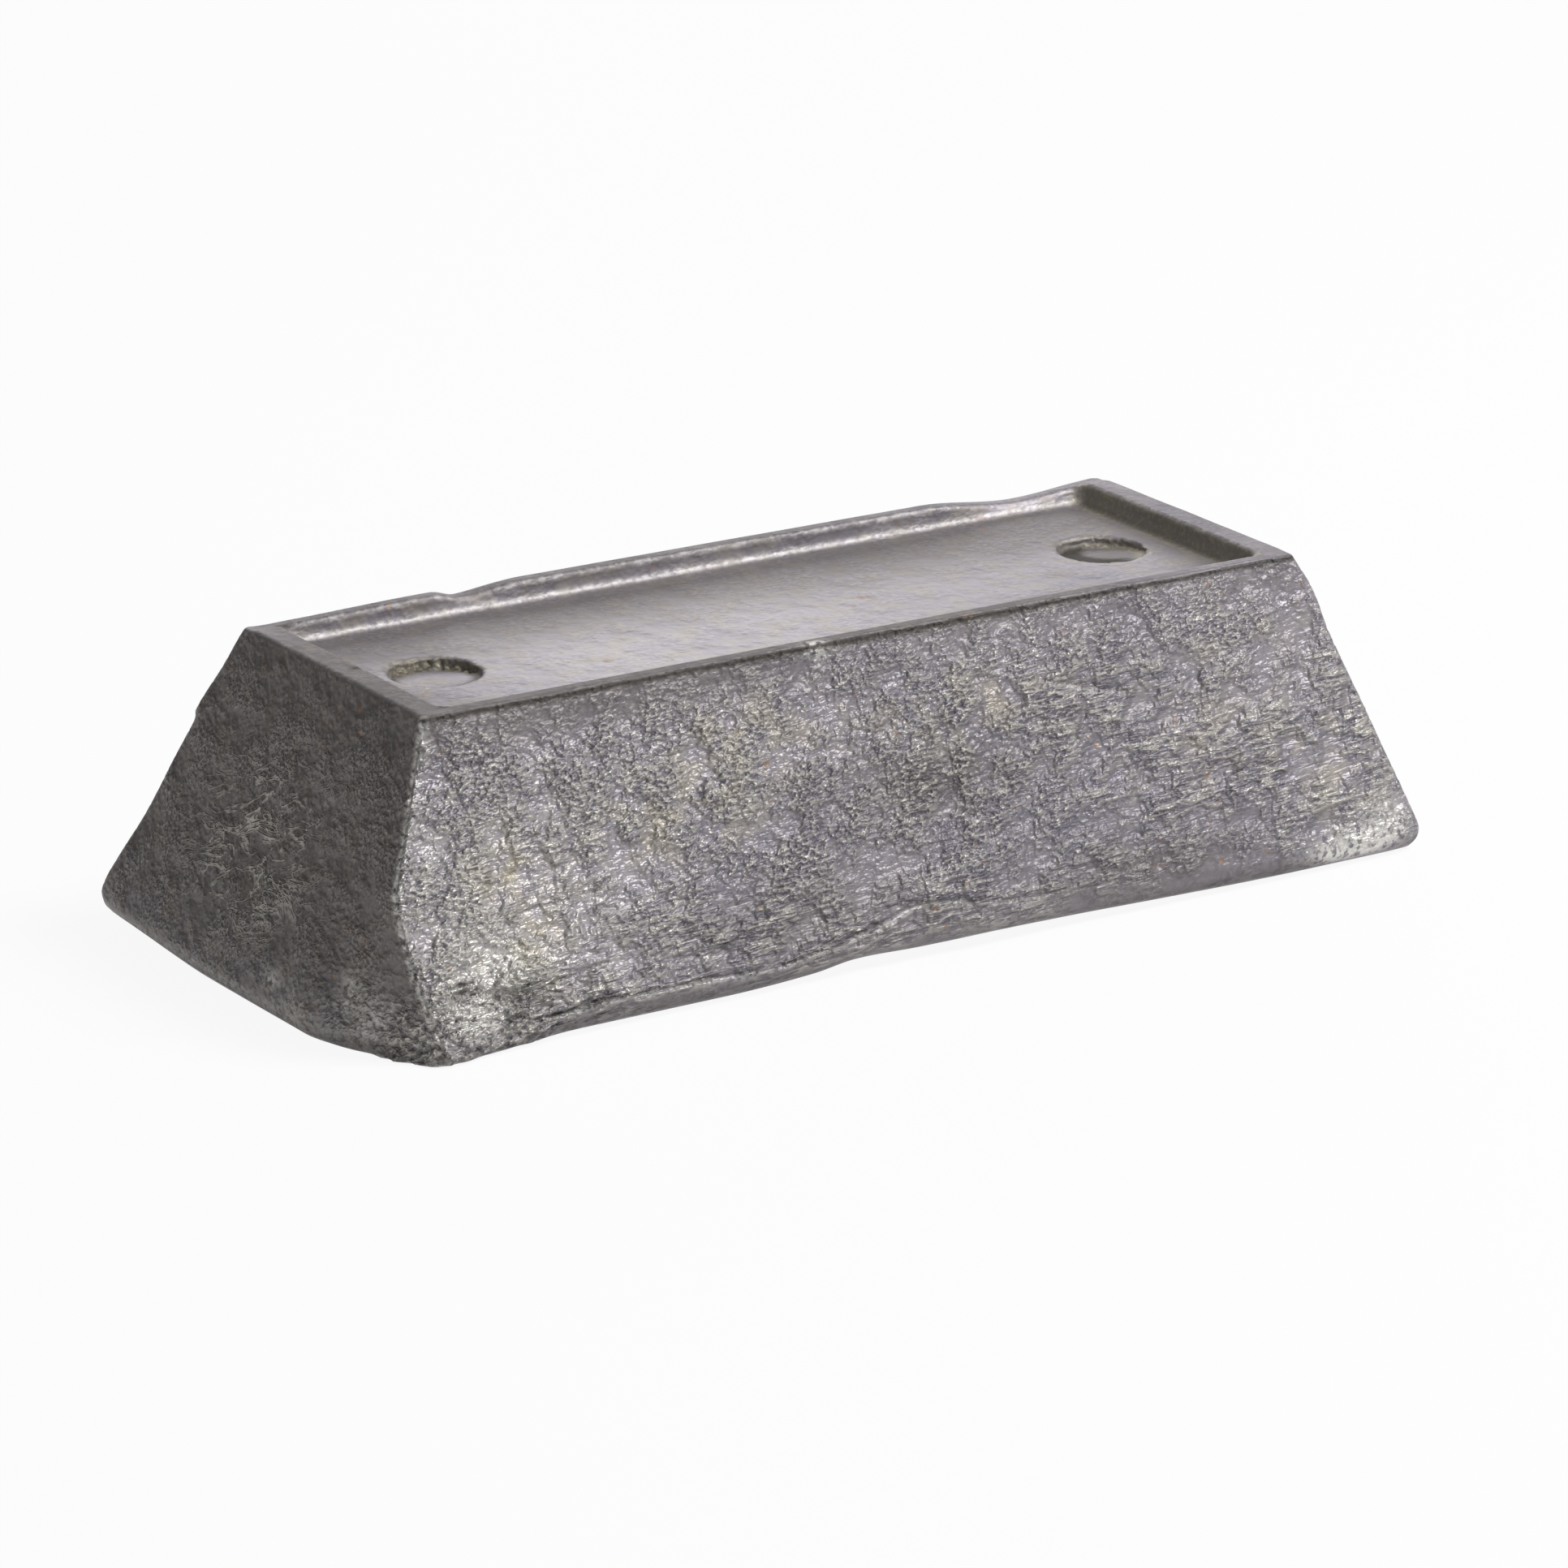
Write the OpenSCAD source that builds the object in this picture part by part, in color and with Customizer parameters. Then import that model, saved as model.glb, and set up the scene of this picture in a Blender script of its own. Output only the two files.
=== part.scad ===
// Cast lead ingot: one solid, poured upside down in an open mould.
// The broad poured face is the base. The mould's floor made the top, with its rimmed tray.
// Millimetres, +Z up, origin in the middle of the base, +X along the length.

/* [Body] */
// Length over the base, at its widest
base_l = 219; // [170:1:280]
// Width over the base, at its widest
base_w = 92; // [70:1:130]
// Length over the top
top_l = 180; // [160:1:215]
// Width over the top
top_w = 59; // [40:1:90]
// Height from the base to the rim
height = 54; // [35:0.5:80]

/* [Edges] */
// Plan radius of the corners at the top
top_corner_r = 2; // [1.8:0.2:6]
// Plan radius of the corners at the base
base_corner_r = 5; // [4:0.5:11]
// Radius of the rim's outer edge
rim_edge_r = 1.1; // [0.6:0.1:1.8]
// Radius that the molten metal took round the poured face
pour_edge_r = 4; // [1.5:0.5:5]

/* [Slumped corner] */
// Plan radius of the base corner where the pour fell short of the mould
slump_corner_r = 12; // [6:1:24]
// Share of the height at which that corner is whole again
slump_share = 0.38; // [0.1:0.02:0.7]

/* [Tray] */
// Width of the rim at the two ends
rim_end_w = 5.5; // [3:0.5:9]
// Width of the rim along the two sides
rim_side_w = 3; // [2:0.5:7]
// Depth of the tray below the rim
tray_depth = 3.8; // [2.4:0.2:8]
// Slope of the tray's walls from upright, in degrees
tray_draft = 15; // [4:1:30]
// Plan radius of the tray's corners
tray_corner_r = 2.5; // [1.5:0.5:6]
// Radius where the tray's walls meet its floor
tray_fillet_r = 1.2; // [0.4:0.1:1.4]

/* [Dimples] */
// Diameter of the two round dimples at the tray's floor
dimple_d = 16; // [10:0.5:24]
// Distance between the two dimples, centre to centre
dimple_pitch = 139; // [110:1:144]
// Depth of a dimple below the tray's floor
dimple_depth = 1.8; // [1.2:0.1:3]
// Slope of a dimple's wall from upright, in degrees
dimple_draft = 20; // [5:1:40]
// Radius where a dimple's wall meets its floor
dimple_fillet_r = 0.8; // [0.2:0.1:1]

/* [Dips in the back rim] */
// Length of the short dip
short_dip_l = 18; // [10:1:30]
// Depth of the short dip
short_dip_depth = 0.9; // [0.3:0.1:1.8]
// Length of the long dip
long_dip_l = 40; // [20:1:50]
// Depth of the long dip
long_dip_depth = 1.6; // [0.3:0.1:1.8]

/* [Hidden] */
$fn = 32;
// How far a cut runs past the face that it opens
overrun = 1;
sides = [-1, 1];
lead_grey = [0.40, 0.39, 0.41];
tray_floor_z = height - tray_depth;
// Where along the top the dips are centred, as shares of its length from the middle
short_dip_share = -0.245;
long_dip_share = 0.385;
// How far the dips reach in from the back edge
dip_reach = 2 * rim_side_w;
// Facets of the shallow dips, whose radius is large
dip_fn = 180;

function mix(from, to, share) = from + (to - from) * share;
// Radius of the arc that has this chord and this depth
function scallop_r(chord, depth) = (chord * chord / 4 + depth * depth) / (2 * depth);
// Distance in from a sloping wall's mouth to the centre of the fillet at its foot
function fillet_inset(depth, draft, fillet) = (depth - fillet) * tan(draft) + fillet / cos(draft);

// A flat disc of the given plan radius with a fully rounded edge, centred on the origin
module round_disc(plan_r, edge_r) {
    rotate_extrude()
        intersection() {
            translate([plan_r - edge_r, 0]) circle(edge_r);
            translate([0, -edge_r]) square([plan_r, 2 * edge_r]);
        }
}

// One corner of the block, at a share of the way up from the base's edge to the rim's
module block_corner(side_x, side_y, share, plan_r) {
    translate([
        side_x * (mix(base_l, top_l, share) / 2 - plan_r),
        side_y * (mix(base_w, top_w, share) / 2 - plan_r),
        mix(pour_edge_r, height - rim_edge_r, share)
    ])
        round_disc(plan_r, mix(pour_edge_r, rim_edge_r, share));
}

// The tapered block, with the front left corner of its base slumped
module block() {
    hull()
        for (side_x = sides, side_y = sides) {
            slumped = side_x < 0 && side_y < 0;
            block_corner(side_x, side_y, 1, top_corner_r);
            block_corner(side_x, side_y, 0, slumped ? slump_corner_r : base_corner_r);
            if (slumped)
                block_corner(side_x, side_y, slump_share, mix(base_corner_r, top_corner_r, slump_share));
        }
}

// The space of the tray, open at the top, with sloping walls and a filleted floor
module tray_space() {
    mouth_l = top_l - 2 * rim_end_w;
    mouth_w = top_w - 2 * rim_side_w;
    foot_inset = fillet_inset(tray_depth, tray_draft, tray_fillet_r) - tray_fillet_r;
    hull()
        for (side_x = sides, side_y = sides) {
            translate([
                side_x * (mouth_l / 2 - tray_corner_r),
                side_y * (mouth_w / 2 - tray_corner_r),
                height
            ])
                cylinder(h = overrun, r1 = tray_corner_r, r2 = tray_corner_r + overrun * tan(tray_draft));
            translate([
                side_x * (mouth_l / 2 - foot_inset - tray_corner_r),
                side_y * (mouth_w / 2 - foot_inset - tray_corner_r),
                tray_floor_z + tray_fillet_r
            ])
                round_disc(tray_corner_r, tray_fillet_r);
        }
}

// The space of one dimple: a shallow round pan, with its mouth at z = 0
module dimple_space() {
    mouth_r = dimple_d / 2;
    fillet_x = mouth_r - fillet_inset(dimple_depth, dimple_draft, dimple_fillet_r);
    fillet_z = dimple_fillet_r - dimple_depth;
    rotate_extrude($fn = 64) {
        polygon([
            [0, -dimple_depth],
            [fillet_x, -dimple_depth],
            [fillet_x + dimple_fillet_r * cos(dimple_draft), fillet_z - dimple_fillet_r * sin(dimple_draft)],
            [mouth_r, 0],
            [mouth_r + overrun * tan(dimple_draft), overrun],
            [0, overrun]
        ]);
        intersection() {
            translate([fillet_x, fillet_z]) circle(dimple_fillet_r);
            translate([0, -dimple_depth]) square([mouth_r, dimple_depth]);
        }
    }
}

// A shallow scallop across the back rim, centred at a share of the top's length from the middle
module rim_dip(share, length, depth) {
    dip_r = scallop_r(length, depth);
    translate([share * top_l, top_w / 2 + overrun, height - depth + dip_r])
        rotate([90, 0, 0])
            cylinder(h = dip_reach + overrun, r = dip_r, $fn = dip_fn);
}

// The whole casting
module ingot() {
    color(lead_grey)
        difference() {
            block();
            tray_space();
            for (side_x = sides)
                translate([side_x * dimple_pitch / 2, 0, tray_floor_z])
                    dimple_space();
            rim_dip(short_dip_share, short_dip_l, short_dip_depth);
            rim_dip(long_dip_share, long_dip_l, long_dip_depth);
        }
}

ingot();
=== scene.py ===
# %% [markdown]
# # A cast lead ingot
#
# This lesson dresses one casting: a pig of lead that was poured into an open iron mould, set, and was
# tipped out upside down. The solid in the frame has the exact block. What it lacks is the skin: the
# pebbly grain of the mould, the laps where the metal froze in waves, the slumped corner and the
# tarnish. So the block is modelled again here, turned into a dense even mesh, and worked like clay.

# %% Load the frame
import math

import bmesh
import bpy
import numpy as np
from mathutils import Matrix, Vector


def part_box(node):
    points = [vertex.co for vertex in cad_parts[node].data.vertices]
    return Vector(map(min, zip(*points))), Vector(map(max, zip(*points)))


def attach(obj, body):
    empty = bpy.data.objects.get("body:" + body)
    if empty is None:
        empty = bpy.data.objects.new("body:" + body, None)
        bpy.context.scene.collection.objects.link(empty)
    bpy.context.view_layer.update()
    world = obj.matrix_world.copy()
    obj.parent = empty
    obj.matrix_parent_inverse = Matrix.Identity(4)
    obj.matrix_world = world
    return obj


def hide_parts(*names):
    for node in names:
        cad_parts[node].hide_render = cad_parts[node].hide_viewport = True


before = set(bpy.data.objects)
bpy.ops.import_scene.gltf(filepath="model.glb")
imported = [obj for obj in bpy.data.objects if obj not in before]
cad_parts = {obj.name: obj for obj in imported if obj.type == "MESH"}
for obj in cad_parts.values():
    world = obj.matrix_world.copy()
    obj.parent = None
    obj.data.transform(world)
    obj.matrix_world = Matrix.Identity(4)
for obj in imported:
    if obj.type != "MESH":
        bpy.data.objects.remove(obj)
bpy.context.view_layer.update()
node_low, node_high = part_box("ingot")

# %% [markdown]
# ## The camera
#
# The viewing angle was found by fitting the block's edges to the photograph. The lens is long, so the
# edges run almost parallel. The camera is set by its distance, its two angles and a small roll, and it
# aims a little past the ingot's middle, because the ingot sits above the middle of the picture.

# %% Direction of the camera
MM = 0.001
CAMERA_AZIMUTH = math.radians(-34.49)
CAMERA_ELEVATION = math.radians(18.29)
CAMERA_ROLL = math.radians(1.09)
CAMERA_DISTANCE = 1209.7 * MM
INGOT_MIDDLE = Vector((0, 0, 26.4 * MM))


def camera_axes(back, roll):
    """The camera's right, up and back directions, as the columns of a matrix."""
    back = back.normalized()
    level_right = Vector((0, 0, 1)).cross(back).normalized()
    level_up = back.cross(level_right)
    right = math.cos(roll) * level_right + math.sin(roll) * level_up
    up = back.cross(right)
    return Matrix((right, up, back)).transposed()


towards_camera = Vector((
    math.sin(CAMERA_AZIMUTH) * math.cos(CAMERA_ELEVATION),
    -math.cos(CAMERA_AZIMUTH) * math.cos(CAMERA_ELEVATION),
    math.sin(CAMERA_ELEVATION),
))
camera_place = INGOT_MIDDLE + CAMERA_DISTANCE * towards_camera
print("camera at", [round(c, 4) for c in camera_place])

# %% Camera
PICTURE_PIXELS = 1932
FOCAL_PIXELS = 8578
MIDDLE_PIXEL = (956.4, 911.7)
SENSOR_MM = 36
CLIP_START = 10 * MM
first_axes = camera_axes(towards_camera, CAMERA_ROLL)
metres_per_pixel = CAMERA_DISTANCE / FOCAL_PIXELS
aim = (
    INGOT_MIDDLE
    + first_axes.col[0] * (PICTURE_PIXELS / 2 - MIDDLE_PIXEL[0]) * metres_per_pixel
    - first_axes.col[1] * (PICTURE_PIXELS / 2 - MIDDLE_PIXEL[1]) * metres_per_pixel
)
bpy.ops.object.select_all(action="DESELECT")
bpy.ops.object.camera_add(location=camera_place)
camera = bpy.context.object
camera.name = "photo_camera"
camera.rotation_euler = camera_axes(camera_place - aim, CAMERA_ROLL).to_euler()
camera.data.sensor_width = SENSOR_MM
camera.data.lens = SENSOR_MM * FOCAL_PIXELS / PICTURE_PIXELS
camera.data.clip_start = CLIP_START
bpy.context.scene.camera = camera
print("lens", round(camera.data.lens, 1), "mm")

# %% [markdown]
# ## The rough block
#
# A moulder cuts a block with sloping sides first and rounds it later, and so does this. A cube is added
# at the size of the base and its top face is scaled in. The rounding of the poured edge will take metal
# away, so the cube starts a little larger: its flanks touch the same two rounded edges as the solid.

# %% Sizes of the casting
base_l = node_high[0] - node_low[0]
base_w = node_high[1] - node_low[1]
height = node_high[2] - node_low[2]
TOP_L = 180 * MM
TOP_W = 59 * MM
RIM_EDGE_R = 0.7 * MM
POUR_EDGE_R = 4 * MM
CORNER_R = 1.2 * MM


def flank_slope(low_size, high_size):
    """Angle from upright of a flank that touches the poured edge below and the rim's edge above."""
    run = (low_size - high_size) / 2 - POUR_EDGE_R + RIM_EDGE_R
    rise = height - POUR_EDGE_R - RIM_EDGE_R
    return math.atan2(run, rise) + math.asin((POUR_EDGE_R - RIM_EDGE_R) / math.hypot(run, rise))


def sharp_foot(low_size, slope):
    """Size that the block would have at the floor if its edge were sharp."""
    return low_size + 2 * POUR_EDGE_R * (math.tan(slope) + 1 / math.cos(slope) - 1)


def sharp_top(high_size, slope):
    """Size that the block would have at the rim if its edge were sharp."""
    return high_size + 2 * RIM_EDGE_R * (1 / math.cos(slope) - math.tan(slope) - 1)


end_slope = flank_slope(base_l, TOP_L)
side_slope = flank_slope(base_w, TOP_W)
foot_l, foot_w = sharp_foot(base_l, end_slope), sharp_foot(base_w, side_slope)
roof_l, roof_w = sharp_top(TOP_L, end_slope), sharp_top(TOP_W, side_slope)
print("slopes", round(math.degrees(end_slope), 1), round(math.degrees(side_slope), 1))
print("sharp block", round(foot_l / MM, 1), "x", round(foot_w / MM, 1), "mm at the foot")

# %% Helpers for picking parts of a mesh
NEAR = 0.05 * MM
# A face looks up when its normal's rise is more than this
UPWARD = 0.9


def make_active(piece):
    """Select one piece and nothing else, so that operators act on it alone."""
    bpy.ops.object.select_all(action="DESELECT")
    bpy.context.view_layer.objects.active = piece
    piece.select_set(True)


def start_editing(piece):
    make_active(piece)
    bpy.ops.object.mode_set(mode="EDIT")


def stop_editing():
    bpy.ops.object.mode_set(mode="OBJECT")


def pick(piece, kind, test):
    """Select the vertices, edges or faces that pass a test, and nothing else."""
    bpy.ops.mesh.select_mode(type=kind)
    bpy.ops.mesh.select_all(action="DESELECT")
    mesh = bmesh.from_edit_mesh(piece.data)
    items = {"VERT": mesh.verts, "EDGE": mesh.edges, "FACE": mesh.faces}[kind]
    chosen = [item for item in items if test(item)]
    for item in chosen:
        item.select_set(True)
    bmesh.update_edit_mesh(piece.data)
    return len(chosen)


def looks_up(face):
    return face.normal.z > UPWARD


def at_level(edge, level):
    return all(abs(vertex.co.z - level) < NEAR for vertex in edge.verts)


# %% Block with sloping flanks
bpy.ops.object.select_all(action="DESELECT")
bpy.ops.mesh.primitive_cube_add(size=1, location=(0, 0, height / 2))
ingot = bpy.context.object
ingot.name = "cast_ingot"
ingot.dimensions = (foot_l, foot_w, height)
bpy.ops.object.transform_apply(location=True, rotation=True, scale=True)
start_editing(ingot)
pick(ingot, "FACE", looks_up)
bpy.ops.transform.resize(value=(roof_l / foot_l, roof_w / foot_w, 1), center_override=(0, 0, height))
stop_editing()
print("block", [round(d / MM, 1) for d in ingot.dimensions], "mm")

# %% [markdown]
# ## The tray
#
# The mould's floor has a raised panel that leaves a shallow tray in the top of the casting. Inset draws
# the rim, a scale makes it wider at the two ends, and an extrude sinks the floor. The floor is scaled in
# a little, because a panel with upright walls would never let go of the casting.

# %% Tray
RIM_SIDE_W = 3 * MM
RIM_END_W = 5.5 * MM
TRAY_DEPTH = 3.8 * MM
TRAY_DRAFT = 1 * MM
mouth_l = TOP_L - 2 * RIM_END_W
mouth_w = TOP_W - 2 * RIM_SIDE_W
floor_z = height - TRAY_DEPTH
start_editing(ingot)
pick(ingot, "FACE", looks_up)
bpy.ops.mesh.inset(thickness=RIM_SIDE_W, depth=0)
mesh = bmesh.from_edit_mesh(ingot.data)
inner = [face for face in mesh.faces if face.select][0]
inner_l = max(v.co.x for v in inner.verts) * 2
inner_w = max(v.co.y for v in inner.verts) * 2
bpy.ops.transform.resize(value=(mouth_l / inner_l, mouth_w / inner_w, 1), center_override=(0, 0, height))
bpy.ops.mesh.extrude_region_move(TRANSFORM_OT_translate={"value": (0, 0, -TRAY_DEPTH)})
bpy.ops.transform.resize(
    value=(1 - 2 * TRAY_DRAFT / mouth_l, 1 - 2 * TRAY_DRAFT / mouth_w, 1),
    center_override=(0, 0, floor_z),
)
stop_editing()
print("tray", round(mouth_l / MM, 1), "x", round(mouth_w / MM, 1), "x", round(TRAY_DEPTH / MM, 1), "mm")

# %% [markdown]
# ## Rounded edges
#
# Lead wets the mould badly, so it pulls back from every corner: the poured edge is round, the rim only
# slightly. Each ring of edges gets a bevel of its own width. Bevel measures its width along the faces, so
# a radius is divided by the tangent of half the angle between them.

# %% Tests for the edges to be rounded
# Two faces make a crease when the angle between them, in radians, is more than this
CREASE = 0.1
FLAT = 0.99


def in_tray(edge):
    return all(abs(v.co.x) < mouth_l / 2 + NEAR and abs(v.co.y) < mouth_w / 2 + NEAR for v in edge.verts)


def on_level(level, inside):
    """A test for creases that lie at one level, inside or outside the tray's mouth."""
    def test(edge):
        return at_level(edge, level) and in_tray(edge) == inside and edge.calc_face_angle(0) > CREASE
    return test


def up_corner(inside):
    """A test for the edges where an end meets a side, in the tray or on the outside."""
    def test(edge):
        if edge.calc_face_angle(0) < CREASE or in_tray(edge) != inside:
            return False
        end_like = [abs(face.normal.x) > abs(face.normal.y) for face in edge.link_faces]
        flat = [abs(face.normal.z) > FLAT for face in edge.link_faces]
        return end_like[0] != end_like[1] and not any(flat)
    return test


# %% Bevels
TRAY_CORNER_R = 2.5 * MM
FILLET_R = 1.2 * MM
RIM_INNER_R = 0.5 * MM
ROUND = 0.5
mean_slope = (end_slope + side_slope) / 2
pour_width = POUR_EDGE_R / math.tan((math.pi / 2 - mean_slope) / 2)
rim_width = RIM_EDGE_R / math.tan((math.pi / 2 + mean_slope) / 2)
start_editing(ingot)
for name, test, width, segments in (
    ("poured edge", on_level(0, False), pour_width, 6),
    ("block's corners", up_corner(False), CORNER_R, 4),
    ("rim's outer edge", on_level(height, False), rim_width, 3),
    ("tray's corners", up_corner(True), TRAY_CORNER_R, 4),
    ("tray's foot", on_level(floor_z, True), FILLET_R, 4),
    ("rim's inner edge", on_level(height, True), RIM_INNER_R, 2),
):
    count = pick(ingot, "EDGE", test)
    bpy.ops.mesh.bevel(offset=width, segments=segments, profile=ROUND, affect="EDGES")
    print(name, "bevelled along", count, "edges")
stop_editing()
print([round(d / MM, 1) for d in ingot.dimensions], "mm")

# %% [markdown]
# ## Dimples
#
# Two round pins in the mould's floor leave a dimple near each end of the tray. A short cylinder with a
# bevelled foot is the shape of such a pin, and a Boolean takes it out of the block.

# %% Dimples
DIMPLE_R = 8 * MM
DIMPLE_DEPTH = 1.8 * MM
DIMPLE_FOOT_R = 0.9 * MM
DIMPLE_PITCH = 139 * MM
PIN_LENGTH = 10 * MM
PIN_SIDES = 48
PIN_FOOT_SEGMENTS = 3


def apply_modifier(piece, name, kind, **settings):
    """Add one modifier to a piece, set it and apply it."""
    make_active(piece)
    modifier = piece.modifiers.new(name, kind)
    for key, value in settings.items():
        setattr(modifier, key, value)
    bpy.ops.object.modifier_apply(modifier=modifier.name)


def sink_dimple(x):
    """Take a pin with a rounded foot out of the tray's floor."""
    bpy.ops.object.select_all(action="DESELECT")
    foot_z = floor_z - DIMPLE_DEPTH
    bpy.ops.mesh.primitive_cylinder_add(
        vertices=PIN_SIDES, radius=DIMPLE_R, depth=PIN_LENGTH, location=(x, 0, foot_z + PIN_LENGTH / 2)
    )
    pin = bpy.context.object
    bpy.ops.object.transform_apply(location=True, rotation=True, scale=True)
    start_editing(pin)
    pick(pin, "EDGE", lambda edge: at_level(edge, foot_z))
    bpy.ops.mesh.bevel(offset=DIMPLE_FOOT_R, segments=PIN_FOOT_SEGMENTS, profile=ROUND, affect="EDGES")
    stop_editing()
    apply_modifier(ingot, "dimple", "BOOLEAN", operation="DIFFERENCE", object=pin)
    bpy.data.objects.remove(pin)


for side in (-1, 1):
    sink_dimple(side * DIMPLE_PITCH / 2)
print("dimples", round(DIMPLE_PITCH / MM), "mm apart:", len(ingot.data.polygons), "faces")

# %% [markdown]
# ## An even skin
#
# Long faces can't be dented. A voxel remesh wraps the block in small even squares, like clay
# over a former. It also blunts the edges, so the squares along the near rim are made finer, and Shrinkwrap
# pulls the skin back onto a copy of the block. From here on the form is moved, not cut.

# %% Remesh
SKIN_SQUARE = 0.9 * MM
RIM_BAND = 1.7 * MM
FINER_CUTS = 2
former = ingot.copy()
former.data = ingot.data.copy()
bpy.context.collection.objects.link(former)
apply_modifier(ingot, "skin", "REMESH", mode="VOXEL", voxel_size=SKIN_SQUARE)


def on_near_rim(face):
    """A test for squares along the rim's outer edge, on the front and on the left end."""
    middle = face.calc_center_median()
    outside = middle.y < -TOP_W / 2 + RIM_BAND or middle.x < -TOP_L / 2 + RIM_BAND
    return outside and middle.z > height - RIM_BAND


start_editing(ingot)
count = pick(ingot, "FACE", on_near_rim)
bpy.ops.mesh.subdivide(number_cuts=FINER_CUTS)
stop_editing()
print(count, "squares along the rim made finer")
apply_modifier(ingot, "fit", "SHRINKWRAP", target=former, wrap_method="NEAREST_SURFACEPOINT")
bpy.data.objects.remove(former)

# %% [markdown]
# ## A plain base
#
# The ingot lies on its flat base, where thousands of small squares would be wasted. They are deleted, and
# the hole is filled with one face that is cut into triangles.

# %% Plain base
FLAT_DOWN = -0.999
start_editing(ingot)
flat = pick(ingot, "FACE", lambda face: face.normal.z < FLAT_DOWN and face.calc_center_median().z < NEAR)
bpy.ops.mesh.delete(type="FACE")
pick(ingot, "EDGE", lambda edge: edge.is_boundary)
bpy.ops.mesh.edge_face_add()
bpy.ops.mesh.quads_convert_to_tris()
stop_editing()
print("skin", len(ingot.data.polygons), "faces;", flat, "flat squares under the base became a few triangles")

# %% [markdown]
# ## Moving points
#
# Sculpting is moving many points by a little, each by its own share. With a brush the share is the
# brush's falloff. Here it is worked out from each point's place: a ramp is a soft step, a hump is two ramps
# back to back, and a patch is a soft oval. So the same clay comes out each time. In the values below, two
# sizes under one name are the ends of a ramp, and three are the start, peak and stop of a hump.

# %% Helpers for moving points
def mm(*sizes):
    """Several sizes in millimetres, as metres."""
    return tuple(size * MM for size in sizes)


def read_points(piece):
    """Places and normals of all vertices, as two arrays with a row for each vertex."""
    count = len(piece.data.vertices)
    places = np.empty(count * 3)
    normals = np.empty(count * 3)
    piece.data.vertices.foreach_get("co", places)
    piece.data.vertices.foreach_get("normal", normals)
    return places.reshape(-1, 3), normals.reshape(-1, 3)


def write_points(piece, places):
    piece.data.vertices.foreach_set("co", places.ravel())
    piece.data.update()


def ramp(value, low, high):
    """A smooth step from 0 at low to 1 at high."""
    t = np.clip((value - low) / (high - low), 0, 1)
    return t * t * (3 - 2 * t)


def hump(value, start, peak, stop):
    """A smooth hump that is 0 at start and stop and 1 at its peak."""
    return ramp(value, start, peak) * ramp(value, stop, peak)


def patch(u, v, middle, radius):
    """A soft oval patch that is 1 in its middle. The middle and the two radii are in millimetres."""
    across = (u - middle[0] * MM) / (radius[0] * MM)
    upwards = (v - middle[1] * MM) / (radius[1] * MM)
    return np.exp(-across ** 2 - upwards ** 2)


def covered(place):
    """How many points lie well inside a soft place."""
    return int((place > 0.5).sum())


def dabs(u, v, spots):
    """The sum of several soft patches of different strengths, held to 1."""
    return np.clip(sum(strength * patch(u, v, middle, radius) for middle, radius, strength in spots), 0, 1)


# %% [markdown]
# ## The slumped corner
#
# At one corner the metal was too cold to fill the mould. The end sags away there in a shallow spoon, so the
# upright corner swings to the right as it comes down, and the last metal ran out into a flat toe. With a
# mouse this is a proportional move of the corner. Here it is a shift that fades along the end, along the
# front and up the corner.

# %% Slumped corner
SLUMP_TOP = 28 * MM
SLUMP_SHIFT = 16.2 * MM
SLUMP_CURVE = 1.25
SLUMP_ALONG_END = 24 * MM
SLUMP_END_CURVE = 1.5
SLUMP_ALONG_FRONT = 60 * MM
FOOT_LEVEL = 3.2 * MM
FOOT_STAY = 6.5 * MM
TOE_X = mm(-102, -95, -68)
TOE_FRONT = mm(30, 42)
TOE_LEVELS = mm(5, 0)
TOE_REACH = 3.2 * MM


def block_halves(z):
    """Half of the sharp block's length and width at each level."""
    return (foot_l + (roof_l - foot_l) * z / height) / 2, (foot_w + (roof_w - foot_w) * z / height) / 2


def slump_fall(z):
    """How far the slumped corner swings to the right, at each level."""
    return SLUMP_SHIFT * np.clip(1 - z / SLUMP_TOP, 0, 1) ** SLUMP_CURVE


places, normals = read_points(ingot)
x, y, z = places.T
half_l, half_w = block_halves(z)
shift = slump_fall(z)
shift -= FOOT_STAY * np.clip(1 - z / FOOT_LEVEL, 0, 1) ** 2
shift *= np.clip(1 - (y + half_w) / SLUMP_ALONG_END, 0, 1) ** SLUMP_END_CURVE
shift *= np.clip(1 - (x + half_l) / SLUMP_ALONG_FRONT, 0, 1)
places[:, 0] += shift
toe = hump(places[:, 0], *TOE_X) * ramp(-y, *TOE_FRONT) * ramp(z, *TOE_LEVELS)
places[:, 1] -= TOE_REACH * toe
write_points(ingot, places)
print("corner slumped by up to", round(float(shift.max()) / MM, 1), "mm")

# %% [markdown]
# ## Waves in the rim
#
# The back rim has two dips and falls off towards its corners. A grab brush with a soft falloff would do
# this by hand. Here the same moves are written as smooth humps along the length.

# %% Moving the rim
# Dips in the back rim: where each one starts, is deepest and stops along the length, and its depth
RIM_DIPS = (mm(-53, -48, -35, 1.1), mm(-95, -84, -56, 0.5), mm(50, 70, 96, 1.7))
RIM_FOOT = 0.5 * MM
BACK_RIM_FADE = 1.5 * MM
RIM_CORNER_L = 9 * MM
RIM_CORNER_W = 7 * MM
CORNER_FALL = 0.2 * MM
places, normals = read_points(ingot)
x, y, z = places.T
half_l, half_w = block_halves(z)
rim_share = ramp(z, floor_z + RIM_FOOT, height)
back_rim = ramp(y, mouth_w / 2 - BACK_RIM_FADE, mouth_w / 2) * rim_share
for start, peak, stop, depth in RIM_DIPS:
    places[:, 2] -= depth * hump(x, start, peak, stop) * back_rim
near_end = ramp(np.abs(x), TOP_L / 2 - RIM_CORNER_L, TOP_L / 2)
near_side = ramp(np.abs(y), TOP_W / 2 - RIM_CORNER_W, TOP_W / 2)
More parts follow.
